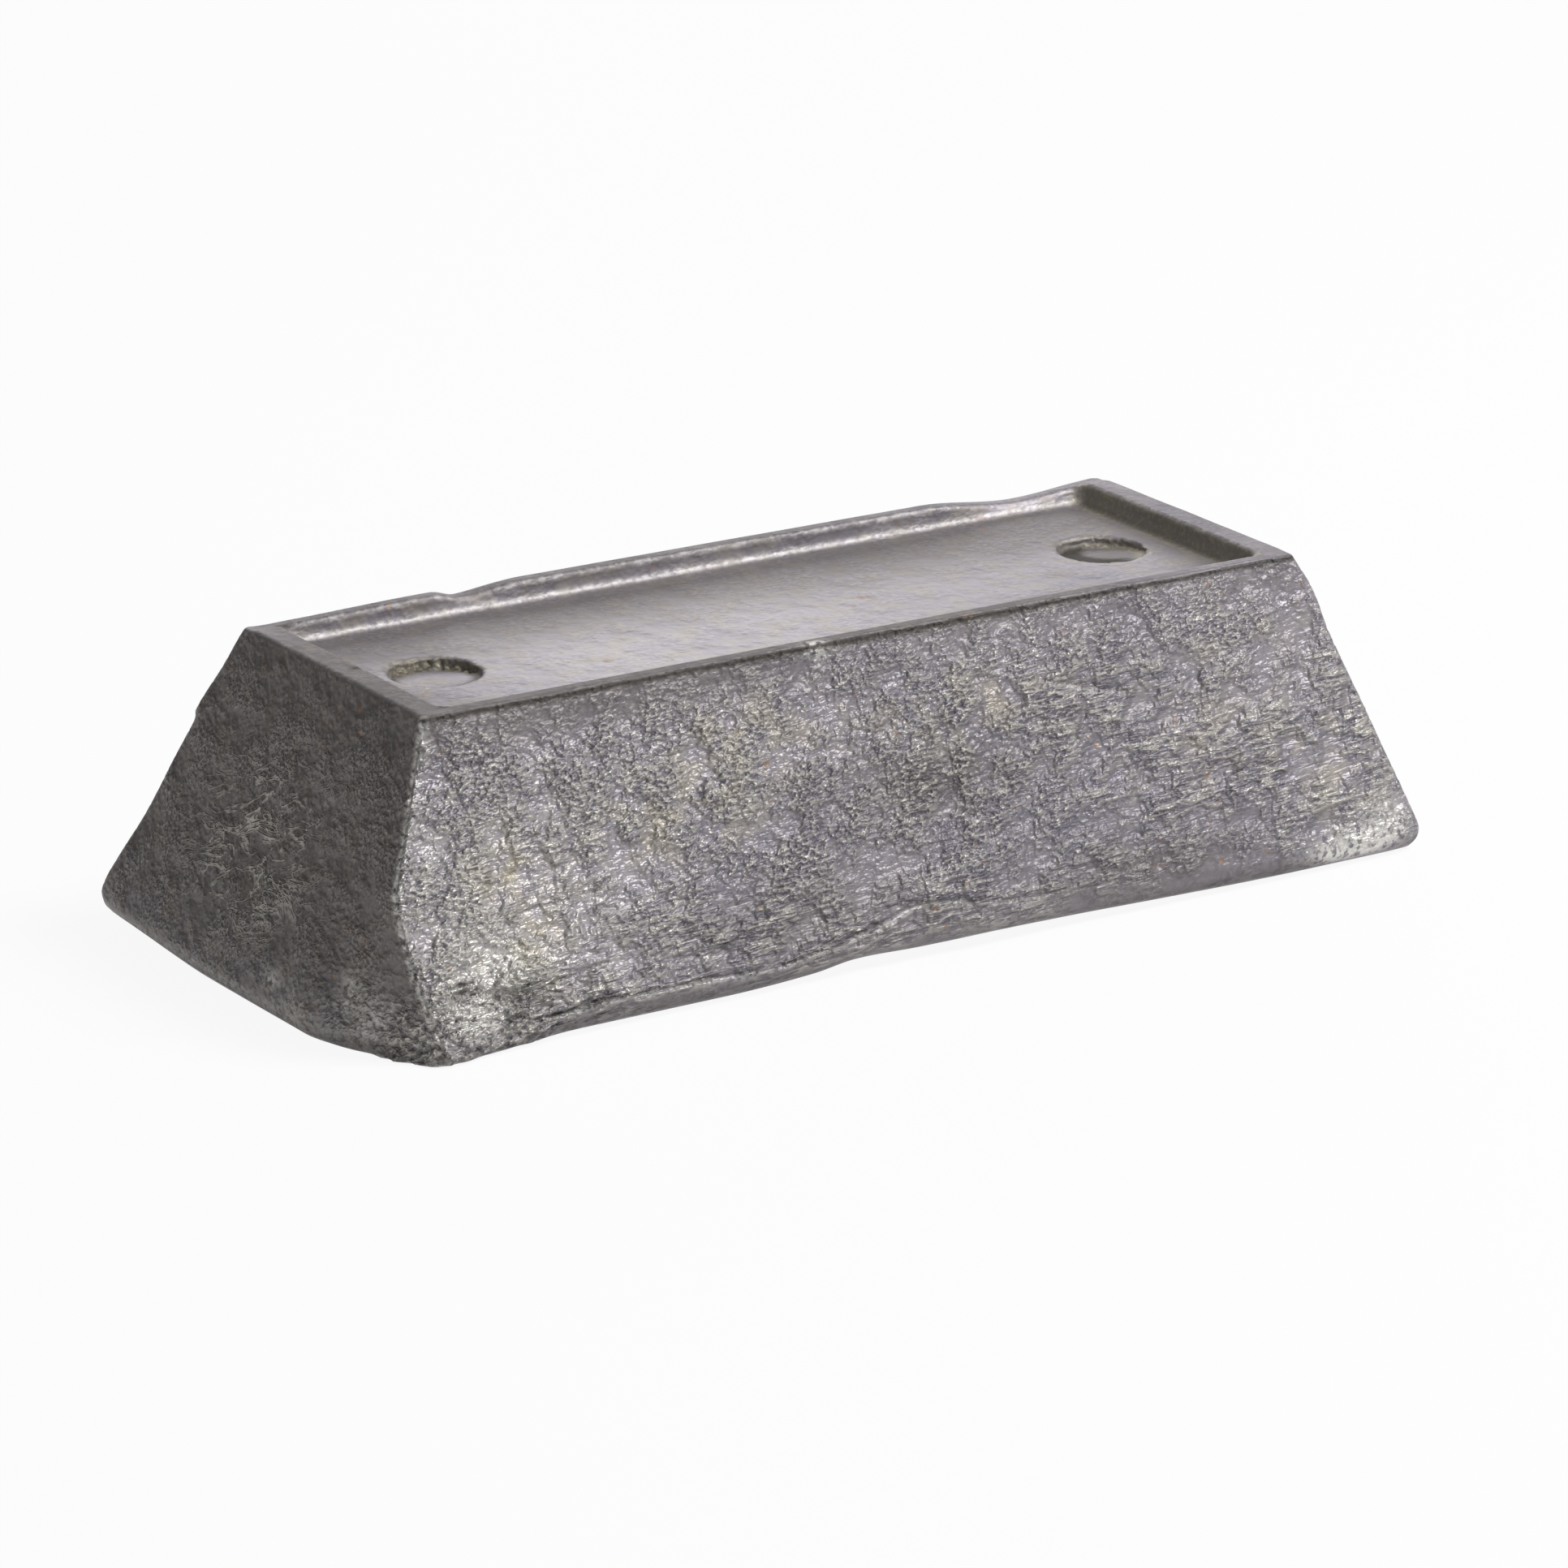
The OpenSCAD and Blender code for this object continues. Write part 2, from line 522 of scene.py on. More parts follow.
places[:, 2] -= CORNER_FALL * (near_end * near_side) * rim_share
print("rim lowered by up to", round(max(dip[3] for dip in RIM_DIPS) / MM, 1), "mm")

# %% [markdown]
# ## Uneven corners and poured edge
#
# The metal shrank as it froze, so the corners pulled in at the base and stand proud elsewhere. The poured
# edge rises and falls, because the metal froze before it was level, and each dimple's floor tilts up
# towards the front. These are more moves on the same points, which are written back at the end.

# %% Moving the corners
# Three corners: the side of the length and width that each is on, and how far it pulls in at the base
CORNERS = ((-1, 1, 0.7 * MM), (1, 1, 1.2 * MM), (1, -1, 0.8 * MM))
PULL_RADIUS = (6, 6)
# Proud places on the corners: the side of the length and width that each is on, then the levels of its
# foot, peak and top, and how proud it stands
SHOULDERS = (
    (-1, 1, *mm(36.6, 38.6, 47, 0.5)),
    (1, -1, *mm(39, 48, 54, 0.5)),
    (-1, 1, *mm(2, 9, 22, 0.5)),
)
SHOULDER_RADIUS = (5, 5)


def near_corner(side_x, side_y, radius):
    """A soft patch round one corner of the block, at all levels."""
    return patch(x - side_x * half_l, y - side_y * half_w, (0, 0), radius)


for side_x, side_y, pull in CORNERS:
    corner = near_corner(side_x, side_y, PULL_RADIUS) * (1 - z / height)
    places[:, 0] -= side_x * pull * corner
    places[:, 1] -= side_y * pull * corner
for side_x, side_y, start, peak, stop, proud in SHOULDERS:
    shoulder = hump(z, start, peak, stop) * near_corner(side_x, side_y, SHOULDER_RADIUS)
    places[:, 0] += side_x * proud * shoulder
    places[:, 1] += side_y * proud * shoulder
print(len(CORNERS), "corners pulled in,", len(SHOULDERS), "proud places")

# %% Moving the poured edge and the dimples' floors
END_LIFT = 1.1 * MM
LIFT_Y, LIFT_END, LIFT_LEVELS = mm(8, 40), mm(88, 106), mm(12, 0)
END_BOW = 0.5 * MM
BOW_MIDDLE, BOW_RADIUS, BOW_END = (8, 0), (26, 16), mm(95, 102)
# Waves in the front of the poured edge: start, peak and stop along the length, and the lift
EDGE_WAVES = (mm(-40, -12, 10, 0.7), mm(-22, -14, 0, 0.5), mm(-30, 12, 84, 1.3))
WAVE_FRONT, WAVE_LEVELS = mm(30, 45), mm(14, 0)
DIMPLE_TILT = 1.1 * MM
PAN_EDGE = mm(0.4, -0.6)
PAN_LIP = 0.4 * MM
# No part of the tray or of its dimples lies deeper than this below the tray's floor
TRAY_REACH = 3 * MM
DROSS_SLANT = 0.5


def around_dimple(x, y):
    """Distance from the nearer dimple's middle, and from a slanting line through that middle."""
    offset = np.abs(x) - DIMPLE_PITCH / 2
    return np.hypot(offset, y), DROSS_SLANT * offset * np.sign(x) + y


places[:, 2] += END_LIFT * ramp(y, *LIFT_Y) * ramp(-x, *LIFT_END) * ramp(z, *LIFT_LEVELS)
places[:, 0] -= END_BOW * patch(y, z, BOW_MIDDLE, BOW_RADIUS) * ramp(-x, *BOW_END)
front_foot = ramp(-y, *WAVE_FRONT) * ramp(z, *WAVE_LEVELS)
for start, peak, stop, lift in EDGE_WAVES:
    places[:, 2] += lift * hump(x, start, peak, stop) * front_foot
dimple_gap, behind = around_dimple(x, y)
in_pan = ramp(dimple_gap, DIMPLE_R + PAN_EDGE[0], DIMPLE_R + PAN_EDGE[1])
in_pan = in_pan * ramp(z, floor_z, floor_z - PAN_LIP) * (z > floor_z - TRAY_REACH)
places[:, 2] += DIMPLE_TILT * in_pan * ramp(y, DIMPLE_R, -DIMPLE_R)
write_points(ingot, places)
print("poured edge lifted by", len(EDGE_WAVES), "waves")
print("dimples tilted over", covered(in_pan), "points")

# %% [markdown]
# ## Finer squares where the detail is
#
# Laps are the lines where one wave of metal froze over another, and they are thinner than the squares of
# the skin. So are the chips on the front left corner, the crust beside it and the dross on the dimples'
# walls. Subdivide makes the squares three times smaller in these places, and leaves the rest as it is.

# %% Laps and the front left corner
# Laps and ridges on the front: how proud each one stands, and its points as length and height, in millimetres
LAPS = (
    (0.28, ((-78, 4.3), (-63, 5), (-40, 4.6), (-29, 4.4), (-18, 5.8), (-11, 7.4), (0, 9.6), (11, 8.6))),
    (0.10, ((-8, 9.8), (0, 9.3), (22, 6.9), (34, 7.3))),
    (0.22, ((-83, 19.3), (-76, 21.4), (-70, 21.6), (-63, 22.2), (-57, 24.2))),
    (0.16, ((-76, 24.5), (-70, 27), (-64, 27.6), (-60, 29.5))),
    (0.25, ((34, 40.5), (43, 38), (52, 36))),
    (0.45, ((-95, 11.5), (-86, 11.9))),
    (0.25, ((-46.5, 9.3), (-37.2, 13.5))),
)
LAP_BAND = mm(-1.3, 1.6)
FRONT_DEPTH = 3 * MM


def between(value, low, high):
    return (value > low) & (value < high)


def lap_gap(points, x, z):
    """Height of a place above a lap, and the places of the lap's two ends."""
    along, level = np.array(points).T * MM
    return z - np.interp(x, along, level), along[0], along[-1]


def near_lap(x, y, z):
    """A mark for each point that is on the front and close to a lap."""
    marked = np.zeros(len(x), dtype=bool)
    for proud, points in LAPS:
        above, first, last = lap_gap(points, x, z)
        marked |= between(above, *LAP_BAND) & between(x, first, last)
    return marked & (y < -block_halves(z)[1] + FRONT_DEPTH)


def corner_line(z):
    """Where the front left corner runs, at each level, after the slump."""
    return slump_fall(z) - block_halves(z)[0], -block_halves(z)[1]


# %% Finer squares
CORNER_BAND = 1.5 * MM
CORNER_LEVELS = (2 * MM, height - 0.5 * MM)
CRUST_X, CRUST_LEVELS, CRUST_Y = mm(-99, -62), mm(1.5, 13), -38 * MM
DROSS_LINE = 0.8 * MM
DROSS_BAND = 1.6 * MM
places, normals = read_points(ingot)
x, y, z = places.T
corner_x, corner_y = corner_line(z)
on_corner = (np.hypot(x - corner_x, y - corner_y) < CORNER_BAND) & between(z, *CORNER_LEVELS)
in_crust = between(x, *CRUST_X) & between(z, *CRUST_LEVELS) & (y < CRUST_Y) & (x > corner_x)
dimple_gap, behind = around_dimple(x, y)
on_dimple_wall = (np.abs(dimple_gap - DIMPLE_R + DROSS_LINE) < DROSS_BAND) & (z > floor_z - TRAY_REACH)
in_dross = on_dimple_wall & (behind > 0)
marks = near_lap(x, y, z) | on_corner | in_crust | in_dross
start_editing(ingot)
count = pick(ingot, "FACE", lambda face: all(marks[vertex.index] for vertex in face.verts))
bpy.ops.mesh.subdivide(number_cuts=FINER_CUTS)
stop_editing()
print(count, "squares made finer:", len(ingot.data.polygons), "faces")

# %% [markdown]
# ## The sides of the skin
#
# The front, the left end and the tray each froze in a way of their own, so the next steps need to know
# which side a point is on. A normal tells most of it. Round the slumped corner it doesn't, because the
# end bends into the front there, so the points are also sorted by the line of the corner.

# %% Sides of the skin
MOUTH_EDGE = 0.4 * MM
FLANK_RISE = (0.9, 0.6)
FRONT_TURN = (0.5, 0.8)
END_TURN = (0.8, 0.5)
CORNER_FADE = mm(0.4, -0.4)
places, normals = read_points(ingot)
x, y, z = places.T
over_mouth = (np.abs(x) < mouth_l / 2 + MOUTH_EDGE) & (np.abs(y) < mouth_w / 2 + MOUTH_EDGE)
in_mouth = over_mouth & (z > floor_z - TRAY_REACH)
flank = ramp(np.abs(normals[:, 2]), *FLANK_RISE) * ~in_mouth
corner_x, corner_y = corner_line(z)
corner_gap = np.hypot(x - corner_x, y - corner_y)
end_side = ramp((x - corner_x) - (y - corner_y), *CORNER_FADE)
front = flank * ramp(-normals[:, 1], *FRONT_TURN) * (1 - end_side)
left_end = flank * ramp(normals[:, 1], *END_TURN) * end_side
print(covered(front), "points on the front,", covered(left_end), "on the left end")

# %% [markdown]
# ## Cast skin
#
# Ten layers of relief are laid on with Displace. A slow unevenness lies all over. Lumps and dunes are the
# mould's rough wall. Wrinkles, stacks and folds are where the metal froze in waves, and crust, crumbs and
# chips are where it froze too soon. Dross is the scum on the dimples' walls. In sculpt mode each would be
# a brush with a texture. Here a vertex group says how much of each layer a place gets.

# %% Where each layer lies on the front
# Patches on the front: length and height of the middle in millimetres, the two radii, and the strength
WRINKLED = (
    ((-64, 8), (18, 6), 1), ((4, 8), (40, 6), 1), ((62, 22), (34, 12), 1), ((94, 24), (14, 18), 1),
    ((-30, 6), (20, 4), 1), ((40, 38), (26, 7), 1), ((-72, 27), (20, 10), 1), ((-44, 15), (26, 6), 1),
)
STACKED = (((-72, 6.5), (12, 4.5), 1.4), ((-42, 12), (24, 6), 0.5), ((70, 17), (30, 7), 0.4))
LUMPY_MIDDLE, LUMPY_RADIUS, LUMPY_LEAST = (-86, 26), (34, 26), 0.3
CRUST_MIDDLE, CRUST_RADIUS, CRUST_STRENGTH = (-88, 6), (13, 8), 1.6
TOE_MIDDLE, TOE_RADIUS, TOE_CRUST_LEVELS = (-100, -44), (8, 8), mm(14, 6)
lumpy = front * np.clip(LUMPY_LEAST + patch(x, z, LUMPY_MIDDLE, LUMPY_RADIUS), 0, 1)
wrinkled = front * dabs(x, z, WRINKLED)
stacked = front * dabs(x, z, STACKED)
front_crust = CRUST_STRENGTH * patch(x, z, CRUST_MIDDLE, CRUST_RADIUS) * front
toe_crust = patch(x, y, TOE_MIDDLE, TOE_RADIUS) * ramp(z, *TOE_CRUST_LEVELS)
crusted = np.clip(front_crust + toe_crust, 0, 1)
print("wrinkled over", covered(wrinkled), "points, crusted over", covered(crusted))

# %% Where each layer lies elsewhere
LEAST_FLANK = 0.1
FOOT_FADE = mm(0, 1.5)
FOLDED = (((4, 24), (16, 13), 1.5),)
CHIP_FADE = mm(1.8, 0.6)
CHIP_TOP = mm(0.5, 2)
# The dross and the wall of a dimple: three distances from its rim, and the share that the right one gets
DROSS_RING = mm(-2.6, -0.6, 0.8)
WALL_RING = mm(-2.6, -0.8, 0.6)
DROSS_FADE = mm(0, 4)
RIGHT_DROSS = 0.3
everywhere = np.clip(LEAST_FLANK + (1 - LEAST_FLANK) * flank, 0, 1) * ramp(z, *FOOT_FADE)
folded = left_end * dabs(y, z, FOLDED)
chipped = ramp(corner_gap, *CHIP_FADE) * ramp(height - z, *CHIP_TOP)
dimple_gap, behind = around_dimple(x, y)
dross_side = ramp(behind, *DROSS_FADE) * np.where(x < 0, 1, RIGHT_DROSS)
dross = in_mouth * hump(dimple_gap, *(DIMPLE_R + gap for gap in DROSS_RING)) * dross_side
dimple_wall = in_mouth * hump(dimple_gap, *(DIMPLE_R + gap for gap in WALL_RING))
print("dross on", covered(dross), "points, chips on", covered(chipped))

# %% Relief
LEAST_WEIGHT = 0.002
CLOUD_OCTAVES = 2
MIDDLE_GREY = 0.5
EVEN = (1, 1, 1)
# Each layer: its name, where it lies, the size of its lumps, its depth, its stretch and its tilt in degrees
LAYERS = (
    ("unevenness", everywhere, 26 * MM, 0.8 * MM, EVEN, 0),
    ("lumps", lumpy, 2.2 * MM, 0.5 * MM, EVEN, 0),
    ("dunes", lumpy, 4.5 * MM, 0.9 * MM, (2, 1, 1), -12),
    ("wrinkles", wrinkled, 2.0 * MM, 1.1 * MM, (5, 1, 1), -5),
    ("crust", crusted, 2.4 * MM, 2.6 * MM, (3, 1, 1), 0),
    ("crumbs", crusted, 1.1 * MM, 0.7 * MM, EVEN, 0),
    ("stacks", stacked, 1.2 * MM, 2.4 * MM, (4, 1, 1), -8),
    ("dross", dross, 1.3 * MM, 1.5 * MM, EVEN, 0),
    ("chips", chipped, 1.3 * MM, 1.3 * MM, EVEN, 0),
    ("folds", folded, 4.0 * MM, 0.5 * MM, (1, 1, 1.5), 0),
)


def paint_group(piece, name, weights):
    """A vertex group with one weight for each vertex."""
    group = piece.vertex_groups.new(name=name)
    for index, weight in enumerate(weights.tolist()):
        if weight > LEAST_WEIGHT:
            group.add([index], weight, "REPLACE")


def relief(piece, name, size, depth, stretch, tilt):
    """Push the skin in and out by clouds of one size, which a stretched and tilted empty draws out."""
    pattern = bpy.data.textures.new(name, "CLOUDS")
    pattern.noise_scale = size
    pattern.noise_depth = CLOUD_OCTAVES
    guide = bpy.data.objects.new(name, None)
    guide.scale = stretch
    guide.rotation_euler = (0, math.radians(tilt), 0)
    bpy.context.collection.objects.link(guide)
    bpy.context.view_layer.update()
    apply_modifier(
        piece, name, "DISPLACE", texture=pattern, texture_coords="OBJECT", texture_coords_object=guide,
        strength=depth, mid_level=MIDDLE_GREY, vertex_group=name,
    )
    bpy.data.objects.remove(guide)
    bpy.data.textures.remove(pattern)


for name, weights, size, depth, stretch, tilt in LAYERS:
    paint_group(ingot, name, weights)
    relief(ingot, name, size, depth, stretch, tilt)
ingot.vertex_groups.clear()
print(len(LAYERS), "layers of relief on", covered(flank), "points of the flanks")

# %% [markdown]
# ## Laps and hollows
#
# A lap is a ledge that swells towards its edge, with a crevice above it. Both follow a line across the
# front, so each point is moved by its height above that line. The hollows are where the crust didn't fill.
# The shapes of ledges, crevices and hollows are kept, because the tarnish later paints a highlight on each
# ledge and shade in each crevice and hollow.

# %% Laps and hollows
LAP_FADE = 5 * MM
FULL_LAP = 0.45
# Heights above a lap's line: where its ledge swells and breaks off, and where the crevice lies
LEDGE_SWELL, LEDGE_BREAK = mm(-2.2, -0.2), mm(0.3, -0.1)
CREVICE_RANGE, CREVICE_SHARE = mm(-0.1, 0.4, 1.5), 0.6
# Ledges get a painted highlight over the bright range, crevices painted shadow over the dark range
BRIGHT_RANGE, DARK_RANGE = mm(-0.8, -0.1, 0.3), mm(0, 0.4, 1.0)
# Hollows in the crust: length and height of the middle in millimetres, the two radii, and the depth
HOLLOWS = (((-90.5, 10.3), (4.5, 1.2), 0.9), ((-79.5, 8), (4.5, 4), 0.8), ((-84, 3.5), (2, 1.5), 0.5))
places, normals = read_points(ingot)
x, y, z = places.T
ledges = np.zeros(len(x))
crevices = np.zeros(len(x))
for proud, points in LAPS:
    above, first, last = lap_gap(points, x, z)
    ends = ramp(x, first, first + LAP_FADE) * ramp(x, last, last - LAP_FADE) * front
    ledge = ramp(above, *LEDGE_SWELL) * ramp(above, *LEDGE_BREAK)
    crevice = hump(above, *CREVICE_RANGE)
    places[:, 1] -= proud * MM * (ledge - CREVICE_SHARE * crevice) * ends
    ends = ends * min(1, proud / FULL_LAP)
    ledges = np.maximum(ledges, ends * hump(above, *BRIGHT_RANGE))
    crevices = np.maximum(crevices, ends * hump(above, *DARK_RANGE))
# Hollows are painted dark later, as shade under the crust's overhang
hollow = np.zeros(len(x))
for middle, radius, depth in HOLLOWS:
    dent = front * patch(x, z, middle, radius)
    places[:, 1] += depth * MM * dent
    hollow = np.maximum(hollow, depth * dent)
places[:, 2] = np.maximum(places[:, 2], 0)
write_points(ingot, places)
print(len(LAPS), "laps and", len(HOLLOWS), "hollows")

# %% [markdown]
# ## Painted masks
#
# The skin isn't the same all over: pebbly where the mould was rough, smooth where it was sooted, with
# straw-coloured films, rubbed edges and dirt in the tray, and with painted highlights and painted shade. In
# texture paint one would dab these on by hand. Here a mask is the strongest of several soft places, and is
# stored as an attribute that the materials read. First the places are worked out, then the masks. The first
# places are on the rim: its dark top, the dark lines along its edges, of which the outer one is painted
# shade, a pit and a bright nick.

# %% Helpers for masks
def apart_from(place, share):
    """1 outside a place, and less by a share inside it."""
    return 1 - share * place


def paint_mask(piece, name, *layers):
    """Store the strongest of several layers, each a strength and a place, as an attribute."""
    values = np.maximum.reduce([strength * place for strength, place in layers])
    attribute = piece.data.attributes.new(name, "FLOAT", "POINT")
    attribute.data.foreach_set("value", np.clip(values, 0, 1))
    print("mask", name, "covers", round(100 * float(np.mean(values > 0.5))), "% of the points")


# %% Places on the rim
RIM_TOP_DROP = mm(2.2, 1.2)
RIM_LINE_DROP, RIM_LINE_IN = mm(1.5, 0.6, 0), mm(0.9, 0.4)
INNER_LINE_IN, INNER_LINE_DROP, INNER_LINE_END = mm(-0.8, 0, 0.8), mm(1.4, 0.8), mm(80, 83)
RIM_PIT_MIDDLE, RIM_PIT_RADIUS = (-85.8, -1.4), (1.0, 0.8)
NICK_MIDDLE, NICK_RADIUS, NICK_DROP = (-12.4, -29.5), (2.2, 1.6), mm(3, 1.2)
SOOT_FADE_X, SOOT_FADE_Y = mm(20, 86), mm(10, 27)
places, normals = read_points(ingot)
x, y, z = places.T
drop = height - z
rim_top = ramp(drop, *RIM_TOP_DROP)
# Painted shade along the rim's outer edge
rim_line = hump(drop, *RIM_LINE_DROP) * ~in_mouth * ramp(TOP_W / 2 + y, *RIM_LINE_IN)
mouth_gap = np.minimum(mouth_l / 2 - np.abs(x), mouth_w / 2 - np.abs(y))
inner_line = hump(mouth_gap, *INNER_LINE_IN) * ramp(drop, *INNER_LINE_DROP) * ramp(-x, *INNER_LINE_END)
rim_pit = patch(x, y, RIM_PIT_MIDDLE, RIM_PIT_RADIUS) * rim_top
nick = patch(x, y, NICK_MIDDLE, NICK_RADIUS) * ramp(drop, *NICK_DROP)
sooted_rim = rim_top * apart_from(ramp(x, *SOOT_FADE_X), 0.6) * apart_from(ramp(y, *SOOT_FADE_Y), 0.3)
print("rim top has", covered(rim_top), "points")

# %% [markdown]
# ## Painted shade, soot and streaks on the flanks
#
# A band of soot from the mould lies under the rim. The whole left end is darkened with painted shade, a
# little less towards its foot, because it faces away from the lamp. Below the lip of the poured edge the
# metal met the air, so it is dark and smooth there. The flanks are also darker towards their foot. Each of
# these places follows a height or a line on the casting, so it is worked out from that and needs no brush.

# %% Places on the flanks
BAND_DROP, BAND_FADE_X = mm(11, 3), mm(-40, 10)
# The lip of the poured edge follows the lowest lap and runs on to the right
LIP_LINE = LAPS[0][1] + ((34, 7.3), (60, 5.5), (84, 4))
LIP_EDGE, LIP_FRONT = mm(0.2, -0.7), mm(32, 38)
LIP_START, LIP_STOP = mm(-86, -78), mm(92, 84)
END_LIP_LEVELS = mm(1.2, 2.8, 4.2)
LOW_CORNER_MIDDLE, LOW_CORNER_RADIUS, LOW_CORNER_LEVELS = (-97, -45), (5, 5), mm(12, 4)
CORNER_RUB = mm(1.5, 0.7)
STREAK_START, STREAK_SHARE = mm(-70, -30), 0.3
END_FOOT = mm(16, 4)
DARKER_FOOT = mm(4, 1.5)
band = ramp(drop, *BAND_DROP) * apart_from(ramp(x, *BAND_FADE_X), 0.6)
lip_along, lip_level = np.array(LIP_LINE).T * MM
below_lip = ramp(z - np.interp(x, lip_along, lip_level), *LIP_EDGE) * ramp(-y, *LIP_FRONT)
below_lip = below_lip * ramp(x, *LIP_START) * ramp(x, *LIP_STOP)
end_lip = left_end * hump(z, *END_LIP_LEVELS)
low_corner = patch(x, y, LOW_CORNER_MIDDLE, LOW_CORNER_RADIUS) * ramp(z, *LOW_CORNER_LEVELS)
rubbed_corner = ramp(corner_gap, *CORNER_RUB)
streaky = np.maximum(wrinkled, STREAK_SHARE * front * ramp(x, *STREAK_START) * (1 - band))
# Painted shade over the whole left end, a little less towards its foot
shade_on_end = left_end * apart_from(ramp(z, *END_FOOT), 0.25)
# Darker towards the foot of the flanks
darker_foot = flank * ramp(z, *DARKER_FOOT)
print("dark band under the rim:", covered(band * front), "points")

# %% [markdown]
# ## Dirt, sheen and shade in the tray
#
# The tray's floor gets a paler patch of painted sheen towards the front and the left, and painted shade
# that darkens it towards the back wall, at both ends and in the dimples. The foot of the back wall gets a
# painted highlight. Dirt and rust lie in the dimples and on the far wall. The distances from the walls and
# from the dimples' middles tell these places apart.

# %% Places in the tray
FAR_WALL_IN, BACK_WALL_IN = mm(5, 0.5), mm(2.5, 1)
WALL_FOOT_IN, WALL_FOOT_RISE = mm(3, 2), mm(0, 0.8, 1.8)
DIMPLE_EDGE, DIMPLE_SINK = mm(0.5, -1), mm(0, -0.6)
FLOOR_RISE = mm(1.2, 0.3)
# Where the painted sheen on the tray's floor lies
SHEEN_IN, SHEEN_START, SHEEN_FADE = mm(2, 16), mm(0, 40), mm(-30, 55)
SHADE_BACK, SHADE_RIGHT, SHADE_LEFT = mm(-6, 18), mm(70, 82), mm(66, 78)
LEFT_DIMPLE_SHADE = 0.15
CRESCENT_X, CRESCENT_Y = mm(73, 1.5)
CRESCENT_RING, CRESCENT_SIDE = mm(4.5, 6.5), mm(74, 70)
DIRTY_WALL, RUSTY_WALL = mm(74, 64), mm(66, 76)
above_floor = z - floor_z
back_gap = mouth_w / 2 - y
dimple_gap, behind = around_dimple(x, y)
far_wall = in_mouth * ramp(mouth_l / 2 - x, *FAR_WALL_IN)
back_wall = in_mouth * ramp(back_gap, *BACK_WALL_IN)
# A painted highlight along the foot of the back wall
wall_foot = in_mouth * ramp(back_gap, *WALL_FOOT_IN) * hump(above_floor, *WALL_FOOT_RISE)
in_dimple = in_mouth * ramp(dimple_gap - DIMPLE_R, *DIMPLE_EDGE) * ramp(above_floor, *DIMPLE_SINK)
on_floor = in_mouth * ramp(above_floor, *FLOOR_RISE) * (1 - in_dimple)
# A paler patch of painted sheen on the floor, towards the front and the left
floor_sheen = on_floor * ramp(back_gap, *SHEEN_IN) * ramp(mouth_l / 2 + x, *SHEEN_START)
floor_sheen = floor_sheen * apart_from(ramp(x, *SHEEN_FADE), 0.8)
# Painted shade on the tray's floor: darker towards the back wall, at both ends and in the dimples
floor_shade = np.maximum.reduce((
    on_floor * ramp(y, *SHADE_BACK),
    0.8 * on_floor * ramp(x, *SHADE_RIGHT),
    0.4 * on_floor * ramp(-x, *SHADE_LEFT),
    in_dimple * np.where(x < 0, LEFT_DIMPLE_SHADE, 1),
))
crescent = ramp(np.hypot(x - CRESCENT_X, y - CRESCENT_Y), *CRESCENT_RING) * ramp(x, *CRESCENT_SIDE)
crescent = in_dimple * crescent * (x > 0)
dirty_wall = dimple_wall * ramp(x, *DIRTY_WALL)
rusty_wall = dimple_wall * ramp(x, *RUSTY_WALL)
print("tray floor has", covered(on_floor), "points")

# %% [markdown]
# ## From places to masks
#
# A mask is laid up like paint: each layer is a place with a strength, and the strongest layer wins, so
# that layers which overlap don't add up to a blot. Marks that follow no line, such as straw-coloured films
# and worn spots, are dabbed on as soft ovals. The grain comes first, then the films, the wear and the painted
# highlights, and the soot, dirt and painted shade last.

# %% Masks of the grain
# Dabs on the front: length and height of the middle in millimetres, the two radii, and the strength
PEBBLY = (
    ((-86, 26), (34, 26), 1.3), ((-35, 38), (30, 12), 0.6), ((20, 38), (40, 10), 0.6),
    ((-6, 23), (34, 15), 0.9), ((72, 40), (28, 12), 0.3),
)
SOOTED = (((6, 29), (18, 6), 0.8), ((46, 8), (28, 5), 0.7), ((-25, 12), (20, 6), 0.5))
LEAST_PEBBLY = 0.5
sooted_front = front * dabs(x, z, SOOTED)
pebbly = flank * (LEAST_PEBBLY + (1 - LEAST_PEBBLY) * front * dabs(x, z, PEBBLY))
for smooth_place, share in (
    (band, 0.6), (sooted_front, 0.2), (left_end, 0.6), (streaky, 0.45), (below_lip, 0.6)
):
    pebbly = pebbly * apart_from(smooth_place, share)
paint_mask(ingot, "pebbly", (1, pebbly))
paint_mask(ingot, "crusted", (1, crusted))
paint_mask(ingot, "wrinkled", (1, streaky * apart_from(below_lip, 0.4)))
paint_mask(ingot, "folded", (1, folded))

# %% Masks of the films, of the worn places and of painted highlights
STRAW = (
    ((-79, 29), (12, 6), 0.8), ((-79, 16), (10, 7), 1.0), ((-45, 31), (16, 7), 0.6),
    ((-30, 42), (16, 6), 0.6), ((17, 39), (20, 6), 0.5), ((66, 26), (24, 8), 0.35),
    ((96, 16), (12, 10), 0.45), ((70, 43), (20, 5), 0.25),
)
PALE_DABS = (
    ((-80, 24), (28, 17), 1.0), ((-79, 17), (12, 6), 0.6), ((-84, 8), (12, 5), 0.6),
    ((94, 22), (14, 14), 0.3), ((-34, 40), (22, 8), 0.3),
)
WORN = (
    ((95, 4.5), (9, 3.2), 1.0), ((91, 3.5), (7, 2), 1.0), ((101, 8), (4, 4), 0.6), ((-91, 7), (4, 2.2), 0.8),
    ((-85, 17), (8, 5), 0.7), ((-90, 7), (5, 4), 0.6), ((-83, 11), (8, 4), 0.7), ((-12.4, 53), (2, 1.5), 1.0),
)
